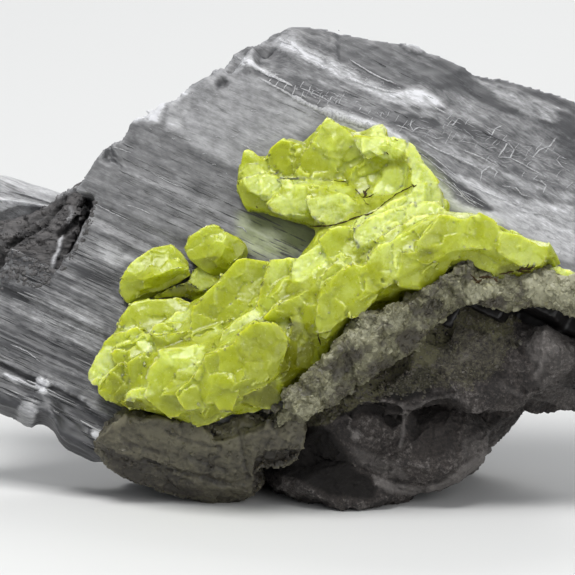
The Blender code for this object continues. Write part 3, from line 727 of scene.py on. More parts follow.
# pale lines left by cracks and cleavage: width (mm), corners in the frame
bladeSeams = [
    (0.4, ((237, 57), (246, 63), (256, 69), (266, 74), (276, 78), (284, 82), (292, 86))),
    (0.22, ((259, 78), (268, 83), (280, 89), (292, 96), (305, 103))),
    (0.6, ((290, 95), (305, 103), (318, 109), (330, 115), (346, 122))),
    (0.75, ((318, 108), (330, 113), (345, 119), (362, 125), (380, 129))),
    (0.1, ((267, 83), (272, 79))),
    (0.1, ((275, 87), (279, 81))),
    (0.12, ((283, 91), (287, 84))),
    (0.12, ((292, 95), (296, 88))),
    (0.1, ((301, 98), (304, 91))),
    (0.12, ((300, 88), (310, 92), (320, 97), (332, 103))),
    (0.1, ((330, 92), (338, 96), (348, 101))),
    (0.3, ((343, 76), (356, 82), (368, 86), (382, 90), (396, 93))),
    (0.2, ((350, 60), (366, 70), (380, 78), (396, 84))),
    (0.14, ((395, 125), (405, 128), (412, 132), (418, 128), (428, 130))),
    (0.12, ((412, 120), (410, 126), (414, 132))),
    (0.13, ((452, 126), (458, 119))),
    (0.13, ((426, 134), (436, 139), (444, 138))),
    (0.16, ((498, 157), (504, 149), (508, 143), (514, 150), (510, 158), (498, 157))),
    (0.16, ((510, 158), (522, 164), (538, 173), (546, 178))),
    (0.16, ((532, 158), (540, 150), (550, 146), (556, 138))),
    (0.14, ((480, 181), (482, 172), (489, 167), (497, 172), (494, 178))),
    (0.14, ((490, 138), (495, 129), (502, 126))),
    (0.13, ((502, 186), (516, 188), (522, 195), (530, 197))),
    (0.14, ((540, 180), (546, 186), (543, 193))),
    (0.12, ((556, 160), (562, 167), (570, 172))),
    (0.2, ((420, 140), (440, 151), (462, 160), (484, 172))),
    (0.14, ((462, 150), (480, 157), (500, 168))),
    (0.16, ((470, 186), (488, 194), (506, 201), (530, 210))),
    (0.14, ((520, 212), (540, 214), (562, 222))),
    (0.1, ((415, 149), (430, 161), (446, 174), (458, 184))),
    (0.1, ((420, 148), (438, 161), (452, 173), (466, 184))),
    (0.1, ((456, 194), (470, 200), (484, 207))),
    (0.1, ((462, 191), (474, 197), (486, 204))),
    (0.12, ((240, 144), (247, 147), (252, 150))),
    (0.14, ((236, 226), (243, 228), (247, 233))),
    (0.1, ((112, 147), (120, 149), (131, 153))),
    (0.1, ((92, 202), (112, 213), (128, 220))),
    (0.1, ((62, 322), (80, 330), (96, 336))),
    (0.1, ((10, 344), (28, 352), (40, 362))),
    (0.1, ((126, 205), (140, 209), (152, 215))),
    (0.1, ((150, 172), (170, 183), (182, 187))),
]


def scratched(count, ways, length, width, seed, outline):
    # fine pale scratches inside an outline, drawn along the given ways
    picker = np.random.default_rng(seed)
    low, high = np.min(outline, 0), np.max(outline, 0)
    lines = []
    while len(lines) < count:
        spot = picker.uniform(low, high)
        if inside(spot[None], outline)[0]:
            way = np.array(ways[picker.integers(len(ways))]) + picker.normal(0, 0.12, 2)
            reach = way * picker.uniform(0.3, 1) * length / 2
            lines.append((width * picker.uniform(0.6, 1.3),
                          [tuple(spot - reach), tuple(spot + picker.normal(0, 0.6, 2)), tuple(spot + reach)]))
    return lines


# fine scratches: count, ways, length in the frame, width (mm), seed, the outline that holds them
bladeScratches = [
    (60, ((0.45, -0.9), (0.9, 0.42)), 9, 0.08, 5, ((264, 72), (300, 84), (345, 96), (385, 112), (395, 122),
        (375, 122), (345, 112), (300, 96))),
    (130, ((0.92, 0.4), (0.92, 0.4), (0.6, -0.8), (0.97, 0.1)), 15, 0.065, 6, ((395, 110), (440, 110),
        (500, 130), (560, 150), (572, 190), (520, 176), (470, 152), (420, 140), (395, 128))),
    (14, ((0.75, 0.65),), 26, 0.08, 7, ((410, 148), (455, 182), (490, 210), (480, 210), (440, 184),
        (408, 154))),
    (50, ((0.9, 0.42),), 12, 0.1, 8, ((280, 38), (330, 60), (400, 86), (400, 94), (330, 74), (285, 50))),
    (50, ((0.85, 0.5), (1, 0.1)), 7, 0.07, 9, ((120, 120), (190, 150), (236, 200), (240, 170), (300, 140),
        (345, 118), (262, 78), (200, 90))),
    (40, ((0.9, 0.4), (0.5, -0.8)), 10, 0.08, 10, ((500, 195), (575, 206), (575, 262), (550, 258),
        (520, 236))),
]
for scratches in bladeScratches:
    bladeSeams += scratched(*scratches)


def paintGypsum():
    paint = Paint("gypsum", IOR=1.52, Transmission_Weight=0.1, Subsurface_Weight=0.5,
                  Subsurface_Radius=(1.0, 1.0, 1.05), Subsurface_Scale=0.0015, Specular_IOR_Level=0.4)
    hair = paint.noise(paint.stretched(paint.faceSpot, (0.12, 4.2, 4.2)), detail=2, rough=0.6)
    streak = paint.noise(paint.stretched(paint.faceSpot, (0.16, 1.25, 1.25)), detail=4, rough=0.6)
    broad = paint.noise(paint.stretched(paint.faceSpot, (0.08, 0.3, 0.3)), detail=3, rough=0.55)
    cloud = paint.noise(paint.spot, 0.3, 5, 0.6)
    mottle = paint.noise(paint.stretched(paint.faceSpot, (0.8, 1.6, 1.6)), detail=6, rough=0.7, warp=0.4)
    tick = paint.noise(paint.stretched(paint.faceSpot, (0.7, 3.0, 3.0)), detail=3, rough=0.65)
    edge = paint.kept("edge")
    drawn, tintAndPaintedLight = paint.kept("tone"), paint.kept("tintAndPaintedLight")
    lowest = paint.step(paint.down - paint.along * 0.4, 17, 34)
    onTop = paint.step(paint.deep + paint.down * -0.5, 0.25, 0.7)
    front = 1 - onTop
    fibrous = 0.22 + lowest * 0.5
    tone = 0.34 + (streak - 0.5) * 1.3 * fibrous + (hair - 0.5) * 1.3 * fibrous
    tone = paint.around(tone, (broad, 0.35), (cloud, 0.5), (mottle, 0.5), (tick, 0.35))
    tone = tone - paint.step(hair * 0.65 + tick * 0.35, 0.58, 0.66) * fibrous * 0.7
    topTone = paint.around(0.30, (mottle, 0.9), (tick, 0.7), (broad, 0.6), (cloud, 0.8))
    tone = paint.clamped(tone * front + topTone * onTop + edge * 0.12 + drawn * (0.75 + mottle * 0.5))
    colour = paint.mix(paint.step(tone, 0.0, 0.45), gypsum["dark"], gypsum["middle"])
    colour = paint.mix(paint.step(tone, 0.3, 0.8), colour, gypsum["light"])
    frost = paint.step(tone + (tick - 0.5) * 0.3, 0.72, 1.1)
    colour = paint.mix(frost, colour, gypsum["frost"])
    # partly painted light: the sulfur's greenish tint, lighter than the blade, lifts the shade beside and
    # under the sulfur
    colour = paint.mix(paint.clamped(tintAndPaintedLight * (0.3 + mottle)), colour, gypsum["tintAndPaintedLightColour"])
    colour = paint.mix(paint.step(drawn * -1, 0.66, 0.85), colour, gypsum["shadow"])
    paint.feed("Base Color", colour)
    paint.feed("Roughness", paint.clamped(0.34 + frost * 0.3 + (1 - streak) * 0.25))
    fine = paint.bump(hair, 0.3, 0.06)
    paint.feed("Normal", paint.bump(streak, 0.25, 0.12, fine))
    return paint.material


def paintSeam():
    paint = Paint("frosted gypsum", Subsurface_Weight=0.3, Subsurface_Radius=(1, 1, 1),
                  Subsurface_Scale=0.0005, Specular_IOR_Level=0.3, Roughness=0.6)
    speck = paint.step(paint.noise(paint.spot, 3.5, 4, 0.7), 0.35, 0.65)
    paint.feed("Base Color", paint.mix(speck, gypsum["seamDark"], gypsum["seamLight"]))
    return paint.material


gypsumPaint = paintGypsum()
seamPaint = paintSeam()


def makeBlade():
    blade = castOf("gypsum_blade", "gypsumBlade")
    softened(blade, gypsum["voxel"], 2)
    fitted(blade, bladeOutline, reach=60)
    fitted(blade, bladeFoot, upper=False, reach=90)
    places, normals = readMesh(blade)
    lower = smoothStep(toFace(places)[:, 1], *gypsum["lower"])
    weighted(blade, "fibres", 0.3 + 0.7 * lower * (normals @ np.array(topOut) < 0.8))  # not the top face
    roughened(blade, *gypsum["fibres"], "fibres", 1)
    roughened(blade, *gypsum["laths"], "fibres", 1)
    roughened(blade, *gypsum["lumps"])
    noteRelief(blade, "edge", 4, 0.12)
    marked(blade, bladeMarks)
    marked(blade, tintAndPaintedLightMarks, "tintAndPaintedLight", 3)
    settled(blade, gypsumPaint, ["gypsum_blade"])
    return blade


blade = makeBlade()
seams = traced("gypsumSeams", [blade], bladeSeams, 0.2, 0.4, 5)
settled(seams, seamPaint, sharp=60)


def modelNeedle():
    # a six-sided splinter, its ends drawn in, lying along X with a half length of 1
    bpy.ops.mesh.primitive_cylinder_add(vertices=6, radius=1, depth=2, rotation=(0, math.pi / 2, 0))
    needle = bpy.context.object
    bpy.ops.object.transform_apply(rotation=True)
    for x in (0.55, -0.6):
        editAll(bpy.ops.mesh.bisect, plane_co=(x, 0, 0), plane_no=(1, 0, 0))
    for v in needle.data.vertices:
        taper = 1 - 0.55 * max(0, abs(v.co.x) - 0.5) / 0.5
        v.co.y *= taper
        v.co.z *= taper * (0.8 if v.co.x > 0 else 1)
        if abs(v.co.x) > 0.9:
            v.co.x += 0.05 * v.co.y
    return modelShape(needle)


def makeNeedles(blade):
    # split laths that lie along the front's fibres
    picker = np.random.default_rng(4)
    places, normals = readMesh(blade)
    face = toFace(places)
    front = normals @ np.array(outward) > 0.6
    fibrous = 0.1 + smoothStep(face[:, 1], *gypsum["needlesFrom"])
    chance = front * fibrous * (face[:, 0] < gypsum["needlesTo"])
    chance = chance / chance.sum()
    turns, drawn, tones = [], keptValues(blade, "tone"), []
    above, below, spare = 3, 0.8, 0.3  # mm over and under the face, and past the lath's ends
    for i in picker.choice(len(places), gypsum["needles"], False, chance):
        half, width = picker.uniform(*gypsum["needleHalf"]), picker.uniform(*gypsum["needleWidth"])
        axis = np.array(along) + picker.normal(0, 0.02, 3)
        place = places[i] - normals[i] * width * 0.6
        ends = [Vector(place + np.array(along) * reach + np.array(outward) * above) * mm
                for reach in (-half - spare, half + spare)]
        if not all(blade.ray_cast(end, -outward, distance=(above + below) * mm)[0] for end in ends):
            continue  # it would stick out past the blade
        tones.append(drawn[i])
        turns.append(turnTo(place, axis, outward, (half, width * 0.8, width)))
    needles = strewn("gypsumNeedles", [modelNeedle()], turns, tones)
    settled(needles, gypsumPaint, sharp=40)


makeNeedles(blade)


def makeRearBlade():
    rear = castOf("gypsum_rear_blade", "gypsumRearBlade")
    softened(rear, gypsum["rearVoxel"], 3)
    fitted(rear, rearOutline)
    places, normals = readMesh(rear)
    places[:, 1] -= smoothStep(-normals[:, 1], 0.2, 0.5) * gypsum["rearForward"]
    writeMesh(rear, places)
    roughened(rear, *gypsum["rearLumps"])
    roughened(rear, *gypsum["rearFibres"])
    noteValues(rear, "tone", np.full(len(places), gypsum["rearTone"]))
    noteRelief(rear, "edge", 4, 0.12)
    settled(rear, gypsumPaint, ["gypsum_rear_blade"])


makeRearBlade()

sulfur = {
    # deep and pale are the ends of the faces' tones, so they carry painted shade and painted light as well as
    # the sulfur's colour
    "deep": (0.15, 0.16, 0.003),
    "body": (0.335, 0.375, 0.012),
    "pale": (0.50, 0.575, 0.085),
    "veil": (0.49, 0.55, 0.14),
    # the frost colour also paints the glint flecks, which are painted highlights
    "frost": (0.56, 0.62, 0.25),
    "dirtDark": (0.13, 0.12, 0.06),
    "dirtLight": (0.34, 0.33, 0.22),
    "leanRight": 0.7,  # shares of the listed leans and heights that the faces take
    "leanUp": 0.62,
    "raised": 0.36,
    "coarse": (1.8, 1.6, 1.2),  # the voxels of the first three rounds, as shares of the last
    "shrunk": 0.14,  # mm, so that the faces stand out of the mass
    "closed": 0.28,  # mm of the gaps that are closed between the faces
    "wavers": ((1.5, 0.2), (0.6, 0.08)),  # size, depth (mm)
    "facetDepth": 0.65,
    "facetTilt": 0.07,
    "between": (-0.05, 0.1, 1.2),  # tone and frosting off the faces, and how far from a face they start (mm)
    "frostDepth": 0.16,
    "crumbs": (420, 0.15, 0.55, 77),  # count, smallest and largest size (mm), seed
    "crumbFrost": 0.8,
}

# the crystals' faces: lean to the right and up, height over the mass (mm), tone, frosting,
# outline in the frame; the tone is partly painted light and shade, lighter on faces that turn up and
# darker on faces that turn down or lie in recesses, and partly the sulfur's own colour
massFaces = {
    "shelf top": (-0.2, 0.25, 0.3, 0.1, 0.0, ((128, 304), (140, 300), (160, 298), (180, 297), (190, 303),
        (186, 310), (176, 316), (165, 322), (152, 325), (140, 325), (122, 329), (116, 326), (120, 318))),
    # painted highlight: these chips' frosting stands for glints along the shelf's edge
    "shelf chips": (0.1, 0.5, 0.7, 0.6, 0.8, ((163, 322), (176, 312), (190, 308), (191, 318), (178, 322))),
    "shelf face": (0.1, 0.1, 0.4, 0.25, 0.1, ((152, 325), (165, 322), (189, 320), (190, 330), (183, 336),
        (172, 340), (160, 340), (150, 334))),
    "shelf foot": (0.0, -0.4, 0.2, -0.35, 0.0, ((150, 334), (160, 341), (172, 342), (190, 330), (197, 338),
        (187, 344), (180, 350), (165, 351), (157, 347))),
    "slope": (0.05, -0.05, 0.5, -0.02, 0.0, ((244, 257), (256, 258), (270, 261), (275, 268), (268, 280),
        (262, 295), (256, 303), (245, 311), (222, 322), (205, 330), (192, 332), (189, 318), (192, 306),
        (205, 297), (218, 286), (228, 273), (234, 262))),
    "slope's lower end": (-0.15, 0.2, 0.4, 0.1, 0.0, ((196, 331), (222, 322), (232, 318), (224, 332),
        (212, 344), (198, 343), (192, 336))),
    "slope's neighbour": (0.3, 0.1, 0.2, 0.25, 0.0, ((268, 259), (290, 257), (299, 258), (292, 274),
        (284, 288), (268, 312), (258, 318), (256, 303), (262, 295), (270, 278))),
    "arm's frosted face": (-0.1, 0.45, 0.8, 0.8, 0.55, ((292, 262), (300, 256), (311, 250), (322, 243),
        (331, 250), (330, 262), (316, 273), (302, 281), (294, 282), (291, 272))),
    "band": (0.1, -0.15, 0.5, 0.05, 0.0, ((262, 318), (270, 309), (285, 300), (300, 294), (314, 288),
        (322, 296), (320, 310), (312, 319), (298, 321), (282, 319))),
    "block's top": (-0.1, 0.45, 0.6, 0.35, 0.1, ((222, 331), (234, 320), (248, 312), (257, 305),
        (263, 317), (250, 323), (238, 331), (232, 344), (225, 351), (219, 344))),
    "block's front": (0.12, -0.15, 0.7, -0.12, 0.0, ((238, 332), (250, 324), (265, 320), (277, 322),
        (284, 331), (289, 338), (288, 348), (284, 358), (280, 369), (275, 379), (262, 390), (250, 393),
        (240, 396), (232, 375), (231, 350))),
    "block's left": (-0.35, -0.1, 0.5, -0.05, 0.0, ((204, 352), (212, 351), (226, 351), (234, 343),
        (238, 360), (240, 396), (232, 412), (220, 413), (212, 400), (207, 380), (203, 362))),
    "block's foot": (0.25, -0.6, 0.3, -0.65, 0.0, ((252, 392), (262, 390), (275, 378), (279, 390),
        (282, 400), (277, 408), (268, 411), (252, 407), (240, 404), (242, 397))),
    "bottom tip": (0.0, -0.35, 0.5, -0.25, 0.1, ((212, 402), (222, 414), (236, 411), (228, 416),
        (215, 422), (205, 425), (192, 427), (190, 418), (197, 409), (206, 404))),
    "lobe's upper face": (-0.35, 0.15, 0.4, 0.25, 0.1, ((122, 329), (140, 325), (145, 327), (143, 334),
        (136, 340), (125, 345), (112, 350), (100, 352), (104, 342), (112, 334))),
    "lobe's bright face": (0.1, 0.45, 0.7, 0.65, 0.25, ((136, 340), (143, 333), (151, 334), (157, 343),
        (155, 350), (147, 352), (140, 348))),
    "lobe's middle": (-0.15, 0.0, 0.4, 0.1, 0.0, ((136, 340), (125, 345), (112, 350), (110, 358),
        (114, 365), (125, 361), (136, 356), (148, 352), (140, 347))),
    "frosted face": (-0.45, 0.3, 0.5, 0.85, 0.9, ((100, 351), (112, 350), (111, 358), (114, 365),
        (112, 371), (106, 379), (98, 386), (90, 382), (88, 374), (91, 366), (95, 358))),
    "clear face": (-0.2, -0.3, 0.5, -0.1, 0.0, ((98, 386), (106, 378), (112, 370), (118, 365), (125, 364),
        (131, 371), (129, 380), (131, 390), (124, 397), (118, 403), (108, 403), (102, 398), (97, 392))),
    "lobe's right": (0.15, -0.1, 0.6, 0.05, 0.0, ((125, 363), (135, 356), (148, 352), (156, 350),
        (154, 362), (146, 368), (143, 378), (141, 386), (130, 390), (129, 380), (131, 370))),
    "frosted lip": (0.0, 0.2, 0.8, 0.4, 0.6, ((124, 397), (130, 390), (140, 386), (150, 384), (160, 386),
        (156, 394), (146, 399), (132, 400))),
    "under the lip": (0.0, -0.6, 0.3, -0.75, 0.0, ((118, 403), (132, 399), (146, 398), (152, 407),
        (140, 411), (126, 410))),
    "middle's top": (0.0, 0.5, 0.6, 0.6, 0.3, ((155, 350), (165, 351), (180, 351), (190, 346), (200, 343),
        (206, 346), (203, 356), (200, 366), (196, 376), (186, 372), (175, 366), (160, 360))),
    "middle's left": (-0.2, 0.05, 0.5, 0.2, 0.0, ((154, 362), (160, 359), (175, 366), (186, 372),
        (196, 376), (199, 384), (190, 390), (176, 392), (162, 390), (150, 384), (143, 378), (146, 368))),
    "middle's right": (0.3, -0.1, 0.4, 0.05, 0.0, ((196, 376), (200, 366), (205, 370), (208, 382),
        (212, 396), (206, 404), (196, 410), (186, 412), (178, 404), (176, 392), (190, 390), (199, 384))),
    "middle's front": (-0.05, -0.3, 0.5, -0.05, 0.0, ((150, 384), (162, 390), (176, 392), (178, 404),
        (184, 412), (178, 420), (170, 418), (160, 409), (150, 405), (146, 398), (156, 393))),
    "recess": (0.5, -0.2, 0.1, -0.7, 0.0, ((290, 322), (300, 322), (313, 324), (316, 334), (315, 350),
        (312, 364), (302, 370), (294, 380), (280, 385), (280, 369), (284, 356), (289, 338))),
    "recess foot": (0.3, -0.6, 0.1, -0.9, 0.0, ((280, 385), (294, 380), (302, 370), (316, 365), (325, 362),
        (318, 376), (308, 386), (300, 393), (288, 400), (281, 398))),
    "waist": (-0.1, -0.1, 0.5, 0.05, 0.1, ((318, 290), (330, 280), (345, 270), (353, 262), (361, 266),
        (361, 280), (354, 296), (350, 310), (345, 320), (330, 329), (318, 332), (314, 324), (320, 312))),
    "waist's right": (0.25, -0.1, 0.3, -0.05, 0.0, ((361, 266), (372, 262), (381, 262), (384, 275),
        (381, 290), (374, 302), (362, 316), (350, 320), (350, 310), (354, 296), (361, 280))),
    "underside": (0.2, -0.75, 0.2, -0.6, 0.0, ((384, 290), (400, 287), (408, 290), (413, 299), (402, 308),
        (388, 312), (376, 316), (362, 322), (350, 326), (352, 318), (362, 316), (374, 302))),
    "pale window": (0.0, 0.2, 0.6, 0.35, 0.3, ((366, 263), (372, 250), (378, 244), (390, 244), (400, 250),
        (401, 262), (399, 275), (393, 285), (384, 290), (384, 275), (380, 262))),
    "bright face": (0.35, -0.2, 0.5, 0.0, 0.0, ((400, 250), (417, 250), (419, 262), (418, 275), (421, 286),
        (427, 290), (420, 293), (408, 290), (399, 287), (399, 275), (401, 262))),
    "dull face": (0.0, -0.4, 0.2, -0.35, 0.0, ((418, 252), (430, 246), (445, 251), (453, 260), (448, 275),
        (440, 284), (430, 289), (424, 289), (420, 284), (418, 270))),
    "arm": (-0.05, 0.15, 0.5, 0.15, 0.0, ((318, 241), (328, 228), (345, 225), (365, 228), (375, 232),
        (368, 241), (356, 250), (345, 257), (331, 263), (324, 252))),
    "arm's streaks": (0.0, 0.5, 0.5, 0.7, 0.7, ((352, 226), (370, 222), (385, 217), (400, 209), (415, 204),
        (440, 201), (446, 209), (430, 213), (412, 215), (396, 223), (384, 233), (370, 243), (356, 250))),
    "arm's strip": (0.1, -0.1, 0.7, 0.2, 0.3, ((331, 263), (345, 255), (354, 260), (345, 270), (330, 280),
        (319, 289), (314, 281))),
    "right top": (-0.1, 0.25, 0.5, 0.3, 0.0, ((372, 241), (385, 232), (400, 222), (415, 215), (430, 213),
        (441, 213), (438, 228), (426, 240), (412, 247), (398, 249), (382, 246))),
    "right middle": (0.15, 0.1, 0.5, 0.1, 0.0, ((441, 212), (455, 214), (463, 222), (458, 238), (450, 250),
        (445, 252), (430, 246), (418, 250), (415, 242), (426, 240), (438, 228))),
    "right block": (0.0, 0.25, 0.5, 0.2, 0.0, ((463, 222), (475, 214), (488, 214), (495, 220), (501, 232),
        (497, 244), (486, 250), (470, 250), (457, 250), (457, 238))),
    "tail": (0.25, 0.1, 0.4, 0.25, 0.1, ((501, 232), (512, 231), (524, 238), (536, 244), (546, 252),
        (546, 260), (540, 266), (525, 268), (510, 262), (498, 255), (497, 244))),
    "right foot": (0.0, -0.25, 0.4, 0.0, 0.0, ((455, 254), (470, 250), (486, 250), (498, 255), (499, 266),
        (490, 273), (481, 270), (470, 263), (460, 260))),
    "tail's foot": (0.1, -0.6, 0.2, -0.7, 0.0, ((499, 266), (510, 263), (525, 268), (541, 267), (536, 278),
        (525, 284), (510, 284), (498, 282), (492, 276))),
    "knob's top": (-0.3, 0.3, 0.4, 0.2, 0.1, ((237, 178), (240, 168), (244, 158), (243, 150), (252, 150),
        (257, 156), (262, 161), (268, 162), (270, 170), (258, 172), (246, 176))),
    "knob's frosted face": (-0.05, 0.35, 0.7, 0.6, 0.6, ((242, 178), (255, 172), (266, 171), (276, 176),
        (284, 182), (286, 190), (278, 196), (268, 199), (258, 196), (248, 190))),
    "knob's foot": (-0.3, -0.5, 0.3, -0.1, 0.0, ((236, 182), (242, 183), (248, 190), (258, 196),
        (267, 199), (266, 208), (258, 211), (246, 209), (241, 200), (237, 192))),
    "round knob": (-0.15, 0.05, 0.4, -0.1, 0.0, ((270, 146), (280, 139), (292, 138), (301, 141),
        (304, 151), (301, 163), (296, 172), (286, 176), (278, 172), (272, 164), (269, 155))),
    "hump": (0.15, 0.05, 0.2, 0.0, 0.0, ((303, 151), (310, 144), (318, 148), (323, 160), (331, 167),
        (337, 173), (322, 176), (308, 176), (297, 174), (301, 162))),
    "peak": (-0.1, 0.2, 0.5, 0.25, 0.05, ((326, 117), (332, 121), (345, 128), (353, 134), (353, 144),
        (345, 151), (332, 152), (318, 148), (310, 143), (316, 130), (322, 126))),
    "behind the bowl": (0.2, -0.1, 0.2, 0.2, 0.1, ((332, 152), (345, 150), (353, 144), (359, 150),
        (363, 160), (358, 170), (348, 173), (338, 172), (329, 163))),
    "step's top": (0.0, 0.5, 0.4, 0.45, 0.25, ((274, 176), (290, 177), (308, 176), (320, 177), (327, 184),
        (345, 185), (353, 190), (340, 197), (325, 197), (305, 198), (290, 195), (282, 188))),
    "step's front": (-0.15, 0.15, 0.9, 0.5, 0.6, ((268, 200), (280, 194), (292, 195), (306, 199),
        (311, 208), (309, 217), (296, 218), (284, 217), (272, 212), (266, 207))),
    "step's right": (0.2, 0.2, 0.7, 0.55, 0.8, ((305, 198), (325, 196), (345, 192), (353, 200), (351, 212),
        (343, 220), (330, 225), (318, 225), (310, 217))),
    "bowl's floor": (0.1, 0.1, 0.1, 0.1, 0.0, ((350, 172), (362, 160), (372, 154), (381, 160), (385, 170),
        (378, 184), (368, 195), (357, 193), (350, 186))),
    "ridge chip": (0.0, 0.3, 0.5, 1.0, 1.0, ((371, 126), (380, 123), (387, 128), (385, 136), (373, 137))),
    "bowl's rim": (0.0, 0.4, 0.4, 0.75, 0.6, ((353, 134), (362, 138), (380, 139), (395, 137), (408, 140),
        (405, 150), (396, 160), (384, 160), (372, 153), (362, 158), (356, 148))),
    "bowl's right wall": (-0.4, 0.2, 0.4, 0.55, 0.2, ((384, 170), (398, 168), (408, 162), (412, 175),
        (411, 188), (398, 196), (384, 204), (370, 209), (366, 200), (372, 190), (380, 182))),
    "outer wall": (0.2, 0.3, 0.5, 0.9, 0.9, ((408, 140), (418, 150), (427, 164), (436, 178), (444, 192),
        (447, 206), (440, 206), (428, 204), (417, 200), (413, 188), (412, 175), (408, 160), (405, 150))),
    "lower wall": (-0.1, 0.35, 0.5, 0.65, 0.5, ((352, 221), (370, 212), (384, 206), (398, 198), (412, 190),
        (419, 200), (414, 208), (400, 214), (388, 220), (376, 226), (364, 226))),
}
leftFaces = {
    "upper face": (-0.1, 0.4, 0.15, 0.15, 0.0, ((120, 279), (127, 269), (132, 261), (141, 256), (150, 248),
        (162, 244), (171, 243), (177, 249), (184, 254), (188, 263), (189, 271), (176, 273), (160, 276),
        (145, 275), (128, 277))),
    "lower face": (-0.05, -0.45, 0.15, -0.05, 0.0, ((118, 281), (128, 277), (145, 275), (160, 276),
        (176, 273), (191, 271), (192, 275), (180, 283), (165, 289), (150, 294), (136, 298), (128, 304),
        (121, 297), (118, 290))),
    "frosted streak": (0.0, 0.6, 0.35, 0.7, 0.9, ((160, 253), (166, 248), (173, 246), (176, 248),
        (168, 252), (162, 255))),
}
upperFaces = {
    "front": (-0.15, 0.25, 0.15, 0.2, 0.0, ((183, 250), (188, 238), (198, 230), (211, 224), (219, 226),
        (226, 232), (224, 243), (223, 255), (216, 256), (200, 259), (190, 259))),
    "right": (0.45, 0.1, 0.15, 0.0, 0.0, ((226, 232), (236, 237), (247, 246), (243, 256), (232, 262),
        (228, 264), (223, 256), (224, 243))),
    "foot": (0.0, -0.5, 0.15, -0.3, 0.0, ((190, 259), (200, 259), (216, 256), (224, 257), (230, 262),
        (226, 272), (221, 279), (213, 276), (203, 271), (196, 266))),
}
gapFaces = {
    "top": (0.0, 0.3, 0.15, 0.2, 0.3, ((188, 277), (192, 270), (200, 266), (212, 272), (222, 279),
        (214, 286), (205, 291), (195, 290))),
    "foot": (-0.1, -0.5, 0.1, -0.6, 0.0, ((160, 292), (188, 280), (196, 289), (205, 292), (196, 297),
        (170, 298), (150, 298))),
    "clear chip": (0.0, 0.4, 0.4, 0.6, 1.0, ((187, 286), (191, 283), (197, 284), (197, 290), (192, 292))),
}
chipFaces = {
    "front": (0.0, 0.3, 0.15, 1.1, 1.0, ((546, 268), (556, 266), (568, 270), (580, 275), (576, 282),
        (560, 279), (549, 276))),
}


# the sulfur's foot, from left to right, and the crust's lower edge
footLine = ((120, 408), (150, 414), (172, 420), (192, 428), (212, 424), (232, 416), (262, 412), (282, 402),
        (290, 396), (300, 387), (310, 377), (325, 364), (335, 352), (345, 339), (352, 330), (362, 324),
        (384, 316), (400, 310), (412, 304), (425, 296), (440, 288), (452, 280), (470, 272), (490, 276),
        (510, 284), (530, 282), (545, 272))
crustFoot = ((262, 426), (285, 424), (312, 414), (341, 400), (368, 380), (392, 363), (417, 352),
        (430, 334), (446, 320), (472, 312), (499, 316), (520, 312), (545, 312), (580, 316))

# where the crust lies over the sulfur's foot and spreads down over the marl
crustOutline = ((262, 414), (282, 402), (290, 396), (300, 387), (310, 377), (325, 364), (335, 352),
        (345, 339), (352, 328), (362, 322), (384, 314), (400, 308), (412, 302), (425, 294), (440, 287),
        (450, 277), (458, 262), (468, 264), (480, 274), (492, 283), (505, 288), (530, 290), (550, 270),
        (580, 285), (580, 316), (545, 314), (515, 322), (500, 334), (472, 328), (458, 322), (440, 350),
        (428, 362), (402, 370), (378, 392), (350, 410), (322, 426), (285, 428))


def paintSulfur():
    paint = Paint("sulfur", IOR=1.6, Subsurface_Weight=1.0, Subsurface_Radius=(1.0, 1.0, 0.2),
                  Subsurface_Scale=0.0022, Specular_IOR_Level=0.35)
    cloud = paint.noise(paint.spot, 0.3, 3, 0.5)
    veil = paint.noise(paint.spot, 0.55, 5, 0.6, warp=1.2)
    patch = paint.noise(paint.spot, 1.1, 4, 0.6)
    fine = paint.noise(paint.spot, 4.0, 5, 0.65)
    chisel = paint.cells(paint.spot, 1.2, distance="MANHATTAN")
    paintedGlint = paint.noise(paint.spot, 2.6, 3, 0.6)
    piecesTone = paint.parts(paint.cells(paint.spot, 0.55, "Color"))[0]
    tone, frosted, edge = paint.kept("tone"), paint.kept("frost"), paint.kept("edge")
    # painted light and shade: the faces' tones set the level, so faces with low tones go towards the deep
    # olive and faces with high tones towards the pale yellow
    level = paint.around(tone * 1.25 + 0.1, (cloud, 1.4), (patch, 0.6), (fine, 0.3), (piecesTone, 0.35))
    colour = paint.mix(paint.step(level, -1.0, 0.1), sulfur["deep"], sulfur["body"])
    colour = paint.mix(paint.step(level, 0.0, 1.1), colour, sulfur["pale"])
    # frost: frosting on convex edges and on frosted faces, plus glint flecks that are painted highlights
    frost = paint.clamped(paint.step(edge * (0.3 + patch), 0.5, 2.0) * 0.5
                          + frosted * paint.step(patch + (fine - 0.5) * 0.9, 0.36, 0.62)
                          + paint.step(paintedGlint, 0.62, 0.7) * 0.55)
    colour = paint.mix(paint.step(veil + tone * 0.15, 0.5, 0.75) * 0.55, colour, sulfur["veil"])
    colour = paint.mix(frost * 0.75, colour, sulfur["frost"])
    dirt = paint.step(paint.kept("crust") + (patch - 0.5) * 0.8, 0.3, 0.7)
    colour = paint.mix(dirt, colour, paint.mix(fine, sulfur["dirtDark"], sulfur["dirtLight"]))
    paint.feed("Base Color", colour)
    paint.feed("Roughness", paint.clamped(0.3 + frost * 0.35 + (patch - 0.5) * 0.4))
    coarse = paint.bump(chisel, 0.2, 0.12)
    paint.feed("Normal", paint.bump(fine, 0.2, 0.05, coarse))
    return paint.material


sulfurPaint = paintSulfur()


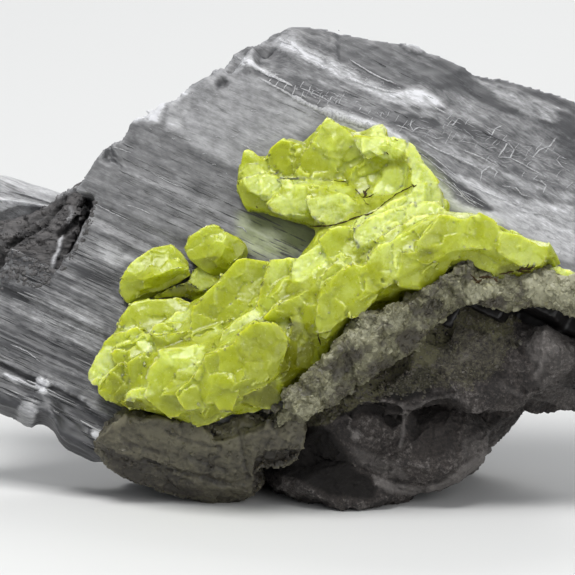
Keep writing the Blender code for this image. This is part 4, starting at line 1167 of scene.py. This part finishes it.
def makeSulfur(node, name, faces, voxel, seed, closing, facets):
    piece = castOf(node, name)
    first, second, third = (voxel * share for share in sulfur["coarse"])
    softened(piece, first, 1, closing)
    softened(piece, second, 4, -closing)
    if faces is massFaces:
        fitted(piece, footLine, upper=False, reach=70)
    plates, fronts = [], []
    for face, (leanRight, leanUp, raised, tone, frost, outline) in faces.items():
        plate = plateOn(piece, outline, leanRight * sulfur["leanRight"], leanUp * sulfur["leanUp"],
                        raised * sulfur["raised"])
        if plate is not None:
            plates.append(hullOf(face, plate[0]))
            fronts.append((outline, plate[1], plate[2], tone, frost))
    finishWith(piece, "DISPLACE", strength=-sulfur["shrunk"] * mm, mid_level=0)
    joined(piece, plates)
    softened(piece, third, 0, sulfur["closed"])
    softened(piece, voxel, 1, -sulfur["closed"])
    places, normals = readMesh(piece)
    writeMesh(piece, places + sum(wavering(places, size, seed) * depth for size, depth in sulfur["wavers"]))
    faceted(piece, facets, sulfur["facetDepth"], seed, sulfur["facetTilt"])
    places, normals = readMesh(piece)
    spots = waveringFrame(places, 0.8, 1.6, seed)
    # each corner takes the tone and frosting of the nearest face that holds it; the tones paint light and
    # shade onto the faces
    tones, frosts, nearest = (np.full(len(places), start) for start in sulfur["between"])
    for outline, centre, normal, tone, frost in fronts:
        off = np.abs((places - np.array(centre) / mm) @ np.array(normal))
        own = inside(spots, outline) & (off < nearest)
        tones[own], frosts[own], nearest[own] = tone, frost, off[own]
    noteValues(piece, "tone", evened(piece, tones, 2))
    frosts = evened(piece, frosts, 1)
    noteValues(piece, "frost", frosts)
    rough = (wavering(places, 0.7, seed) + 0.6 * wavering(places, 0.3, seed))[:, 0]
    writeMesh(piece, places + normals * (frosts * rough * sulfur["frostDepth"])[:, None])
    noteRelief(piece, "edge", 3, 0.05)
    crusted = inside(waveringFrame(places, 1.2, 6), crustOutline) & (normals[:, 1] < frontward)
    noteValues(piece, "crust", evened(piece, crusted.astype(float), 1))
    settled(piece, sulfurPaint, [node])
    return piece, crusted


# node, name, faces, voxel (mm), seed, the first closing (mm), facets (mm)
crystals = (
    ("sulfur_mass", "sulfurMass", massFaces, 0.15, 21, 0.8, 1.7),
    ("sulfur_left_crystal", "sulfurLeftCrystal", leftFaces, 0.11, 31, 0.15, 1.3),
    ("sulfur_upper_crystal", "sulfurUpperCrystal", upperFaces, 0.11, 41, 0.15, 1.3),
    ("sulfur_gap_crystal", "sulfurGapCrystal", gapFaces, 0.1, 51, 0.1, 1.3),
    ("sulfur_right_chip", "sulfurRightChip", chipFaces, 0.1, 61, 0.1, 1.3),
)
(sulfurMass, sulfurCrusted), *_ = [makeSulfur(*crystal) for crystal in crystals]


def makeCrumbs():
    # broken bits that lie in the mass's hollows
    hollow = evened(sulfurMass, keptValues(sulfurMass, "edge"), 2)
    crumbs = strewnOver("sulfurCrumbs", sulfurMass, chipShapes, *sulfur["crumbs"],
                        lambda places, normals: (hollow < -0.25) & (normals[:, 1] < 0.2))
    noteValues(crumbs, "frost", np.full(len(crumbs.data.vertices), sulfur["crumbFrost"]))
    settled(crumbs, sulfurPaint, sharp=30)


thread = {
    "dark": (0.012, 0.006, 0.002),
    "light": (0.07, 0.04, 0.01),
}

# dark plant threads and specks on the sulfur: width (mm), corners in the frame
darkThreads = [
    (0.14, ((310, 226), (322, 226), (336, 225), (346, 222), (355, 218), (362, 216), (370, 214), (377, 210))),
    (0.11, ((377, 210), (384, 204), (391, 199), (397, 194), (403, 191), (409, 188), (414, 185))),
    (0.18, ((412, 184), (414, 187), (417, 185))),
    (0.2, ((361, 197), (364, 198), (366, 194), (363, 191))),
    (0.1, ((364, 195), (367, 190), (371, 187))),
    (0.1, ((365, 198), (370, 197), (374, 194))),
    (0.1, ((361, 196), (358, 192), (355, 189))),
    (0.1, ((363, 199), (366, 203), (369, 205))),
    (0.3, ((476, 283), (482, 280), (488, 276), (494, 279), (498, 283))),
    (0.22, ((478, 278), (486, 277), (492, 279))),
    (0.16, ((470, 274), (476, 280), (480, 284))),
    (0.28, ((518, 272), (522, 268), (528, 269), (534, 267))),
    (0.14, ((520, 266), (524, 269), (529, 264))),
    (0.14, ((516, 270), (524, 272), (531, 271))),
    (0.14, ((498, 274), (506, 273), (514, 271))),
    (0.16, ((270, 216), (276, 220), (282, 222))),
    (0.12, ((289, 318), (291, 322), (294, 326))),
    (0.14, ((318, 333), (319, 339), (321, 345))),
    (0.1, ((386, 152), (389, 155))),
    (0.12, ((394, 140), (398, 141))),
    (0.12, ((256, 206), (258, 208))),
    (0.12, ((200, 412), (202, 414))),
    (0.1, ((166, 288), (172, 289))),
    (0.1, ((330, 180), (340, 182), (348, 181))),
]


def paintThread():
    paint = Paint("plant thread", Roughness=0.8, Specular_IOR_Level=0.3)
    paint.feed("Base Color", paint.mix(paint.noise(paint.spot, 3, 3), thread["dark"], thread["light"]))
    return paint.material


crust = {
    "dark": (0.075, 0.069, 0.038),
    "dull": (0.145, 0.138, 0.074),
    "light": (0.33, 0.32, 0.21),
    "dirt": (0.05, 0.041, 0.031),
    "firstVoxel": 0.4,
    "voxel": 0.2,
    "lumps": (1.5, 1.1),  # size, depth (mm)
    "facets": (1.1, 0.5, 71, 0.2),  # size (mm), strength, seed, tilt
    "sugar": (0.5, 0.35),
    "rise": 9,  # how far it climbs over the sulfur's foot, in the frame
    "blocks": (650, 0.5, 1.5, 72),  # count, smallest and largest size (mm), seed
    "grains": (6500, 0.15, 0.7, 73),
    "edge": (3000, 0.2, 1.1, 74),
    "spread": (6500, 0.12, 0.55, 94),
}


def paintCrust():
    paint = Paint("calcite", IOR=1.55, Subsurface_Weight=0.35, Subsurface_Radius=(1.0, 0.95, 0.85),
                  Subsurface_Scale=0.0008, Transmission_Weight=0.1)
    cloud = paint.noise(paint.spot, 0.5, 4, 0.6)
    speck = paint.noise(paint.spot, 2.6, 4, 0.65)
    grain = paint.parts(paint.cells(paint.spot, 1.6, "Color"))[0]
    tone = paint.around(0.42, (cloud, 2.2), (speck, 1.1), (grain, 0.5))
    tone = paint.clamped(tone + paint.kept("tone"))
    colour = paint.mix(paint.step(tone, 0.0, 0.5), crust["dark"], crust["dull"])
    colour = paint.mix(paint.step(tone, 0.4, 1.0), colour, crust["light"])
    # the dark marks draw in more of the dirt colour; in the pocket this is painted shade
    dirt = paint.step(paint.noise(paint.spot, 0.45, 5, 0.65) - paint.kept("tone") * 0.4, 0.5, 0.64)
    paint.feed("Base Color", paint.mix(dirt * 0.65, colour, crust["dirt"]))
    paint.feed("Roughness", paint.clamped(0.3 + speck * 0.4))
    paint.feed("Normal", paint.bump(speck, 0.6, 0.15))
    return paint.material


crustPaint = paintCrust()


def modelGrain(squash):
    # a blocky crystal with its edges broken
    bpy.ops.mesh.primitive_cube_add(size=1.6)
    grain = bpy.context.object
    editAll(bpy.ops.mesh.bevel, offset=0.22, segments=1, affect="EDGES")
    for v in grain.data.vertices:
        v.co.x += squash * v.co.z
        v.co.y += 0.5 * squash * v.co.x
    return modelShape(grain)


def modelChip(seed):
    # a small angular grain
    bpy.ops.mesh.primitive_ico_sphere_add(subdivisions=1, radius=1)
    chip = bpy.context.object
    picker = np.random.default_rng(seed)
    for v in chip.data.vertices:
        v.co *= picker.uniform(0.65, 1.25)
    return modelShape(chip)


def strewnOver(name, obj, shapes, count, smallest, largest, seed, where=None, sink=0.2, shade=0.0):
    # small crystals scattered over a piece and half sunk in it
    picker = np.random.default_rng(seed)
    places, normals = readMesh(obj)
    chance = np.ones(len(places)) if where is None else where(places, normals).astype(float)
    count = min(count, int((chance > 0).sum() * 0.6))
    chance = chance / chance.sum()
    turns, drawn, tones = [], keptValues(obj, "tone"), []
    for i in picker.choice(len(places), count, False, chance):
        tones.append(drawn[i] + shade)
        size = smallest + (largest - smallest) * picker.random() ** 2.2
        place = places[i] - normals[i] * size * sink
        turns.append(turnTo(place, picker.normal(size=3), picker.normal(size=3),
                            size * 0.5 * picker.uniform(0.7, 1.25, 3)))
    return strewn(name, shapes, turns, tones)


def scattered(material, slot, name, obj, shapes, *sizes, **settings):
    # small crystals over a piece, with their finish
    settled(strewnOver(name, obj, shapes, *sizes, **settings), material, sharp=0)


grainShapes = [modelGrain(0.0), modelGrain(0.25), modelGrain(-0.3)]
chipShapes = [modelChip(seed) for seed in range(6)]


# marks on the crust
crustMarks = [
    (0, 0.3, 0.18, ((350, 334), (362, 322), (380, 320), (384, 332), (372, 344), (354, 346))),
    (0, 0, -0.22, ((280, 425), (320, 408), (345, 388), (380, 362), (420, 345), (450, 326), (455, 345),
        (400, 385), (340, 415), (290, 440))),
    (0, 0.2, 0.3, ((386, 318), (402, 312), (406, 324), (392, 334))),
    (0, 0.3, 0.35, ((296, 400), (312, 396), (326, 402), (318, 420), (300, 418))),
    (0, 0.2, 0.3, ((465, 284), (500, 286), (515, 296), (490, 306), (466, 302))),
    (0, 0.2, 0.5, ((525, 278), (545, 274), (575, 270), (590, 304), (545, 306), (530, 296))),
    # painted shade in the pocket
    (0, -0.8, -0.8, ((437, 322), (447, 312), (455, 322), (450, 342), (436, 345), (424, 336))),
    (0, -0.4, -0.4, ((466, 302), (500, 296), (514, 302), (500, 310), (474, 312))),
    (0, -0.3, -0.35, ((395, 338), (420, 330), (430, 342), (412, 352), (396, 350))),
    (0, -0.3, -0.3, ((330, 366), (352, 350), (366, 356), (348, 374), (332, 382))),
    (0, -0.2, -0.25, ((408, 306), (430, 298), (446, 302), (436, 314), (412, 318))),
]


def makeCrust():
    piece = castOf("calcite_crust", "calciteCrust")
    softened(piece, crust["firstVoxel"], 6, 0.3)
    softened(piece, crust["voxel"], 1)
    fitted(piece, crustFoot, upper=False, reach=80)
    fitted(piece, [(x, y - crust["rise"]) for x, y in footLine[7:]], reach=50)
    marked(piece, crustMarks, wander=3, rounds=2)
    roughened(piece, *crust["lumps"])
    faceted(piece, *crust["facets"])
    roughened(piece, *crust["sugar"])
    noteRelief(piece, "edge", 3, 0.08)
    settled(piece, crustPaint, ["calcite_crust"])
    scattered(crustPaint, "calcite", "calciteBlocks", piece, grainShapes, *crust["blocks"], sink=0.3)
    scattered(crustPaint, "calcite", "calciteGrains", piece, chipShapes, *crust["grains"])
    scattered(crustPaint, "calcite", "calciteEdge", sulfurMass, chipShapes + grainShapes, *crust["edge"],
              where=lambda *_: sulfurCrusted, sink=0.05)
    return piece


makeCrumbs()
calciteCrust = makeCrust()
threads = traced("darkThreads", [sulfurMass, calciteCrust], darkThreads, 0.6, 0.5, 6)
settled(threads, paintThread(), sharp=60)

foot = {
    "dark": (0.035, 0.03, 0.022),
    "light": (0.15, 0.138, 0.09),
    "specks": (0.02, 0.018, 0.015),
    "voxel": 0.16,
    "lumps": (2.2, 1.0, (1.8, 1, 1)),  # size, depth (mm), stretch
    "facets": (1.5, 0.6, 81, 0.14),  # size (mm), strength, seed, tilt
    "ribs": (0.8, 0.35, (1.6, 1, 1)),
    "sugar": (0.35, 0.16),
    "crumbs": (2600, 0.12, 0.8, 82),  # count, smallest and largest size (mm), seed
}
footLower = ((88, 448), (98, 456), (110, 470), (124, 478), (145, 486), (165, 493), (185, 498))
footUpper = ((98, 436), (106, 422), (115, 412), (126, 408), (140, 411), (160, 416), (180, 420), (200, 422),
        (225, 417), (250, 413), (262, 411), (285, 405), (300, 408))


def paintFoot():
    paint = Paint("cloudy gypsum", IOR=1.52, Subsurface_Weight=0.4, Subsurface_Radius=(1.0, 0.95, 0.8),
                  Subsurface_Scale=0.0015, Transmission_Weight=0.1, Specular_IOR_Level=0.4)
    cloud = paint.noise(paint.spot, 0.35, 5, 0.6)
    streak = paint.noise(paint.stretched(paint.faceSpot, (0.3, 1.6, 1.6)), detail=5, rough=0.65)
    speck = paint.noise(paint.spot, 2.2, 4, 0.7)
    tone = paint.around(0.42, (cloud, 1.6), (streak, 0.8), (speck, 1.1))
    tone = paint.clamped(tone + paint.kept("edge") * 0.2 + paint.kept("tone"))
    colour = paint.mix(tone, foot["dark"], foot["light"])
    colour = paint.mix(paint.step(speck, 0.67, 0.72), colour, foot["specks"])
    paint.feed("Base Color", colour)
    paint.feed("Roughness", paint.clamped(0.32 + speck * 0.35))
    paint.feed("Normal", paint.bump(speck, 0.4, 0.12, paint.bump(streak, 0.3, 0.2)))
    return paint.material


footPaint = paintFoot()


# marks on the foot
footMarks = [
    # painted shadow over the low corner beside the marl
    (0, -0.9, -1.2, ((255, 460), (268, 452), (285, 450), (310, 452), (310, 515), (254, 515))),
    (3, 0.1, -0.1, ((104, 462), (124, 476), (150, 484), (190, 494), (230, 494))),
    (0, 0, 0.42, ((120, 415), (200, 428), (240, 420), (240, 450), (190, 450), (150, 440))),
    (0, 0.15, 0.55, ((114, 414), (126, 410), (139, 413), (136, 421), (128, 424), (118, 422))),
    (0, 0.1, 0.2, ((120, 405), (200, 425), (250, 412), (250, 425), (210, 436), (170, 430), (125, 424))),
    (4, -0.35, -0.3, ((143, 460), (165, 467), (190, 475), (231, 484))),
    (0, 0, -0.4, ((105, 450), (150, 462), (200, 485), (200, 497), (150, 490), (110, 470))),
    (3, -0.2, -0.3, ((120, 440), (150, 450), (190, 458), (225, 470))),
    (3, -0.25, -0.35, ((236, 425), (242, 450), (248, 478))),
    (2.5, -0.2, -0.25, ((165, 430), (190, 442), (220, 448))),
]


def makeFoot():
    piece = castOf("gypsum_foot", "gypsumFoot")
    softened(piece, foot["voxel"], 1, 0.15)
    fitted(piece, footLower, upper=False)
    fitted(piece, footUpper, reach=30)
    roughened(piece, *foot["lumps"])
    faceted(piece, *foot["facets"])
    roughened(piece, *foot["ribs"])
    roughened(piece, *foot["sugar"])
    noteRelief(piece, "edge", 4, 0.08)
    marked(piece, footMarks)
    settled(piece, footPaint, ["gypsum_foot"])
    scattered(footPaint, "cloudy_gypsum", "footCrumbs", piece, chipShapes + grainShapes, *foot["crumbs"])


makeFoot()

marl = {
    "dark": (0.022, 0.019, 0.018),
    "light": (0.088, 0.074, 0.066),
    # dust on raised parts, and the painted highlight along the bottom rim
    "dustAndHighlight": (0.225, 0.207, 0.195),
    # painted shade for the dark marks in hollows and shadow
    "hollow": (0.008, 0.006, 0.005),
    "voxel": 0.22,
    "lumps": (3.0, 1.0),  # size, depth (mm)
    "facets": (2.6, 0.4, 91, 0.2),  # size (mm), strength, seed, tilt
    "knobs": (1.1, 0.55),
    "pits": (0.5, 0.4),
    "apron": 0.46,  # how much calcite dust the apron holds
    "grit": (3500, 0.12, 0.5, 93),  # count, smallest and largest size (mm), seed
}
marlLower = ((440, 490), (460, 480), (481, 463), (500, 440), (514, 421), (530, 413), (560, 412), (590, 408))
marlUpper = ((300, 297), (340, 288), (380, 298), (420, 298), (460, 294), (500, 300), (515, 318),
        (530, 324), (545, 324), (560, 334), (590, 340))


def paintMarl():
    paint = Paint("marl", IOR=1.5, Specular_IOR_Level=0.4)
    cloud = paint.noise(paint.spot, 0.3, 5, 0.6)
    grit = paint.noise(paint.spot, 2.4, 5, 0.7)
    speck = paint.noise(paint.spot, 7, 3, 0.6)
    tone = paint.clamped(paint.around(0.38, (cloud, 1.8), (grit, 2.2), (speck, 1.2)))
    colour = paint.mix(tone, marl["dark"], marl["light"])
    edge = paint.kept("edge")
    raised = paint.around(grit, (cloud, 0.9), (speck, 0.6)) + edge * 0.1
    dustAndHighlight = paint.clamped(paint.step(raised, 0.52, 0.95)) * 0.75
    drawn = paint.kept("tone")
    # the pale marks mix in this colour too; along the bottom rim it is a painted highlight
    colour = paint.mix(paint.clamped(dustAndHighlight + drawn * (0.5 + grit)), colour, marl["dustAndHighlight"])
    # painted shade: the dark marks go towards near black, in the pocket, under the ledge and over the
    # shadowed lower part
    colour = paint.mix(paint.clamped(drawn * -1.2), colour, marl["hollow"])
    crusted = paint.step(paint.kept("crust") + (grit - 0.5) * 0.6, 0.35, 0.65)
    calcite = paint.mix(paint.clamped(cloud + speck - 0.5), crust["dark"], crust["dull"])
    colour = paint.mix(crusted, colour, calcite)
    paint.feed("Base Color", colour)
    paint.feed("Roughness", paint.clamped(0.75 + (grit - 0.5) * 0.5))
    paint.feed("Normal", paint.bump(grit, 0.9, 0.5, paint.bump(speck, 0.8, 0.15)))
    return paint.material


marlPaint = paintMarl()


# marks on the marl
marlMarks = [
    (0, 0, 0.22, ((535, 322), (590, 330), (590, 408), (548, 402), (530, 370), (538, 345))),
    # painted shade in the pocket
    (0, -0.8, -0.9, ((437, 322), (446, 320), (454, 325), (450, 340), (442, 346), (430, 343), (424, 336))),
    # painted shade in the hollow under the ledge, in this mark and the next
    (0, -0.7, -0.7, ((335, 403), (350, 405), (365, 404), (380, 403), (401, 408), (401, 420), (392, 428),
        (382, 418), (370, 412), (355, 418), (345, 412), (335, 415))),
    (0, -0.2, -0.25, ((410, 412), (430, 400), (446, 396), (462, 402), (466, 415), (455, 440), (440, 455),
        (420, 460), (410, 440))),
    # painted shadow over the lower part
    (0, 0, -0.8, ((255, 470), (270, 430), (300, 425), (330, 430), (345, 450), (355, 470), (380, 482),
        (372, 500), (330, 495), (298, 480))),
    (0, -0.1, -0.95, ((365, 362), (395, 364), (420, 360), (440, 375), (430, 395), (400, 402), (360, 398))),
    (2.2, 0.25, 0.9, ((402, 404), (404, 420), (402, 434), (400, 448))),
    (2.0, 0.2, 0.6, ((404, 408), (416, 408), (426, 402), (440, 397), (455, 398), (466, 403))),
    (2.0, 0.2, 0.4, ((345, 400), (365, 401), (385, 400), (402, 403))),
    # painted highlight along the bottom rim
    (0, 0.2, 0.75, ((372, 474), (395, 483), (420, 487), (440, 482), (456, 471), (476, 454), (495, 440),
        (500, 446), (481, 463), (461, 480), (440, 490), (410, 495), (388, 492), (374, 484))),
    (0, 0.2, 0.9, ((352, 431), (358, 430), (361, 437), (357, 441), (352, 438))),
    (0, 0, 0.3, ((350, 446), (375, 455), (400, 466), (410, 480), (385, 478), (362, 466))),
    (0, 0, 0.3, ((462, 440), (490, 430), (500, 438), (478, 455), (462, 460))),
    (0, 0.2, 0.4, ((525, 345), (535, 333), (546, 326), (558, 334), (562, 346), (556, 358), (545, 364),
        (530, 362))),
    (3, 0.3, 0.8, ((541, 361), (541, 369), (536, 376))),
    (0, 0.1, 0.6, ((414, 346), (422, 345), (426, 351), (418, 354))),
    (3, -0.5, -0.4, ((470, 325), (490, 336), (515, 342), (522, 352))),
    (2, 0.15, 0.35, ((500, 385), (520, 395), (545, 400), (570, 408))),
    (3, -0.4, -0.4, ((440, 372), (460, 378), (486, 380), (505, 372))),
]


# where calcite crumbs thin out over the marl below the crust
apronOutline = ((278, 428), (300, 412), (333, 404), (366, 403), (399, 399), (437, 388), (471, 393),
        (500, 372), (520, 345), (505, 318), (460, 308), (430, 322), (395, 350), (340, 385), (290, 410))


def makeMarl():
    piece = castOf("marl_matrix", "marlMatrix")
    softened(piece, marl["voxel"], 2, 0.15)
    fitted(piece, marlLower, upper=False)
    fitted(piece, marlUpper, reach=70)
    roughened(piece, *marl["lumps"])
    faceted(piece, *marl["facets"])
    roughened(piece, *marl["knobs"])
    roughened(piece, *marl["pits"], octaves=3)
    noteRelief(piece, "edge", 4, 0.12)
    marked(piece, marlMarks)
    places, normals = readMesh(piece)
    spots = waveringFrame(places, 1.5, 5)
    ahead = (normals[:, 1] < frontward) & (places[:, 1] < -2)  # the side that faces the viewer
    covered = inside(spots, crustOutline) & ahead
    apron = inside(spots + wavering(places, 0.8, 5)[:, :2] * 6, apronOutline) & ahead
    noteValues(piece, "crust", evened(piece, np.maximum(covered, apron * marl["apron"]), 2))
    settled(piece, marlPaint, ["marl_matrix"])
    scattered(marlPaint, "marl", "marlGrit", piece, chipShapes, *marl["grit"])
    scattered(crustPaint, "calcite", "calciteSpread", piece, chipShapes, *crust["spread"],
              where=lambda *_: np.maximum(covered, apron * 0.7), shade=-0.4)
    return piece


marlMatrix = makeMarl()

shale = {
    "dark": (0.02, 0.019, 0.02),
    "light": (0.135, 0.126, 0.122),
    "vein": (0.5, 0.5, 0.51),
    # painted shadow in the cracks
    "gap": (0.004, 0.004, 0.004),
    "voxel": 0.17,
    "scars": (2.0, 0.3, 101, 0.9),  # size, depth (mm), seed, tilt
    "layers": (0.9, 0.45, (3, 1, 1)),  # size, depth (mm), stretch
    "splits": (0.35, 0.22, (2, 1, 1)),
    "flakes": (1500, 0.15, 0.8, 103),  # count, smallest and largest size (mm), seed
    "rubble": (700, 0.15, 0.9, 104),
    "rubbleTone": 0.05,
}
shaleUpper = ((0, 219), (12, 218), (30, 213), (50, 205), (62, 194), (80, 183), (92, 174))


def paintShale():
    paint = Paint("shale", IOR=1.5, Specular_IOR_Level=0.4)
    layer = paint.noise(paint.stretched(paint.spot, (0.5, 0.8, 2.6)), detail=5, rough=0.65, warp=0.3)
    grit = paint.noise(paint.spot, 2.6, 4, 0.6)
    drawn = paint.kept("tone")
    tone = paint.clamped(paint.around(0.35, (layer, 2), (grit, 0.8)))
    colour = paint.mix(tone, shale["dark"], shale["light"])
    colour = paint.mix(paint.clamped(drawn), colour, shale["vein"])
    # painted shadow: the dark marks, sunk into cracks, go towards near black
    paint.feed("Base Color", paint.mix(paint.clamped(drawn * -1), colour, shale["gap"]))
    paint.feed("Roughness", paint.clamped(0.6 + (grit - 0.5) * 0.5))
    paint.feed("Normal", paint.bump(layer, 0.7, 0.3))
    return paint.material


shalePaint = paintShale()


# marks on the shale; the dark lines are painted shadow in cracks and the pale ones are veins
shaleMarks = [
    (4, -0.7, -0.8, ((44, 223), (52, 214), (60, 206), (64, 198))),
    (5, -0.7, -0.9, ((8, 246), (20, 238), (32, 231), (44, 225))),
    (6, -0.8, -1.0, ((60, 234), (66, 229), (76, 222), (86, 214), (91, 205), (90, 196))),
    (3, -0.4, -0.6, ((78, 202), (84, 198), (88, 190))),
    (3, -0.3, -0.5, ((22, 228), (36, 218), (48, 212))),
    (2.6, 0.4, 1.2, ((61, 234), (60, 243), (58, 252), (54, 260), (52, 268))),
    (3, 0.2, 0.4, ((46, 206), (56, 198), (66, 194), (78, 188))),
    (2.5, 0.2, 0.35, ((68, 226), (72, 214), (70, 208))),
]

# where the shale's rubble lies on the blade
rubbleOutline = ((0, 243), (20, 250), (40, 255), (60, 262), (78, 240), (88, 215), (93, 200), (97, 206),
        (92, 225), (82, 246), (66, 268), (54, 282), (34, 288), (12, 280), (0, 290))


def makeShale():
    piece = castOf("shale_wedge", "shaleWedge")
    softened(piece, shale["voxel"], 2, 0.1)
    scalloped(piece, *shale["scars"])
    fitted(piece, shaleUpper, reach=60)
    roughened(piece, *shale["layers"])
    roughened(piece, *shale["splits"])
    marked(piece, shaleMarks, wander=0.8)
    settled(piece, shalePaint, ["shale_wedge"])
    scattered(shalePaint, "shale", "shaleFlakes", piece, chipShapes, *shale["flakes"])
    rubble = strewnOver("shaleRubble", blade, chipShapes, *shale["rubble"],
                        lambda places, normals: inside(inFrame(places), rubbleOutline) & (normals[:, 1] < 0))
    noteValues(rubble, "tone", np.full(len(rubble.data.vertices), shale["rubbleTone"]))
    settled(rubble, shalePaint, sharp=0)


makeShale()

for piece in (blade, sulfurMass, marlMatrix):
    thinned(piece)

studio = {
    "floor": (0.62, 0.62, 0.61),
    "floorDull": (0.55, 0.55, 0.54),
    "sky": (0.80, 0.83, 0.88),
    "skyStrength": 0.45,
    "lit": (0, 0, 0.02),  # where the lights point, in metres
    "lights": [  # name, place and size in metres, watts
        ("key", (-0.14, -0.16, 0.55), 0.28, 3.3),
        ("fill", (0.30, -0.50, 0.22), 0.40, 1.3),
        ("back", (0.10, 0.45, 0.40), 0.30, 1.4),
    ],
}


def makeStudio():
    bpy.ops.object.select_all(action="DESELECT")
    bpy.ops.mesh.primitive_grid_add(x_subdivisions=8, y_subdivisions=8, size=4)
    floor = bpy.context.object
    floor.name = "floor"
    paint = Paint("floor", Roughness=0.9, Specular_IOR_Level=0.2)
    tint = paint.noise(paint.spot, 0.01, 2)
    paint.feed("Base Color", paint.mix(tint * 0.1, studio["floor"], studio["floorDull"]))
    floor.data.materials.append(paint.material)
    world = bpy.data.worlds.new("sky")
    world.use_nodes = True
    sky = world.node_tree.nodes["Background"].inputs
    sky["Color"].default_value = (*studio["sky"], 1)
    sky["Strength"].default_value = studio["skyStrength"]
    bpy.context.scene.world = world
    for name, place, size, watts in studio["lights"]:
        lamp = bpy.data.lights.new(name, "AREA")
        lamp.size = size
        lamp.energy = watts
        light = added(name, lamp)
        light.location = place
        light.rotation_euler = (Vector(studio["lit"]) - Vector(place)).to_track_quat("-Z", "Y").to_euler()
        light.visible_camera = False


makeStudio()
bpy.data.objects.remove(ruler)
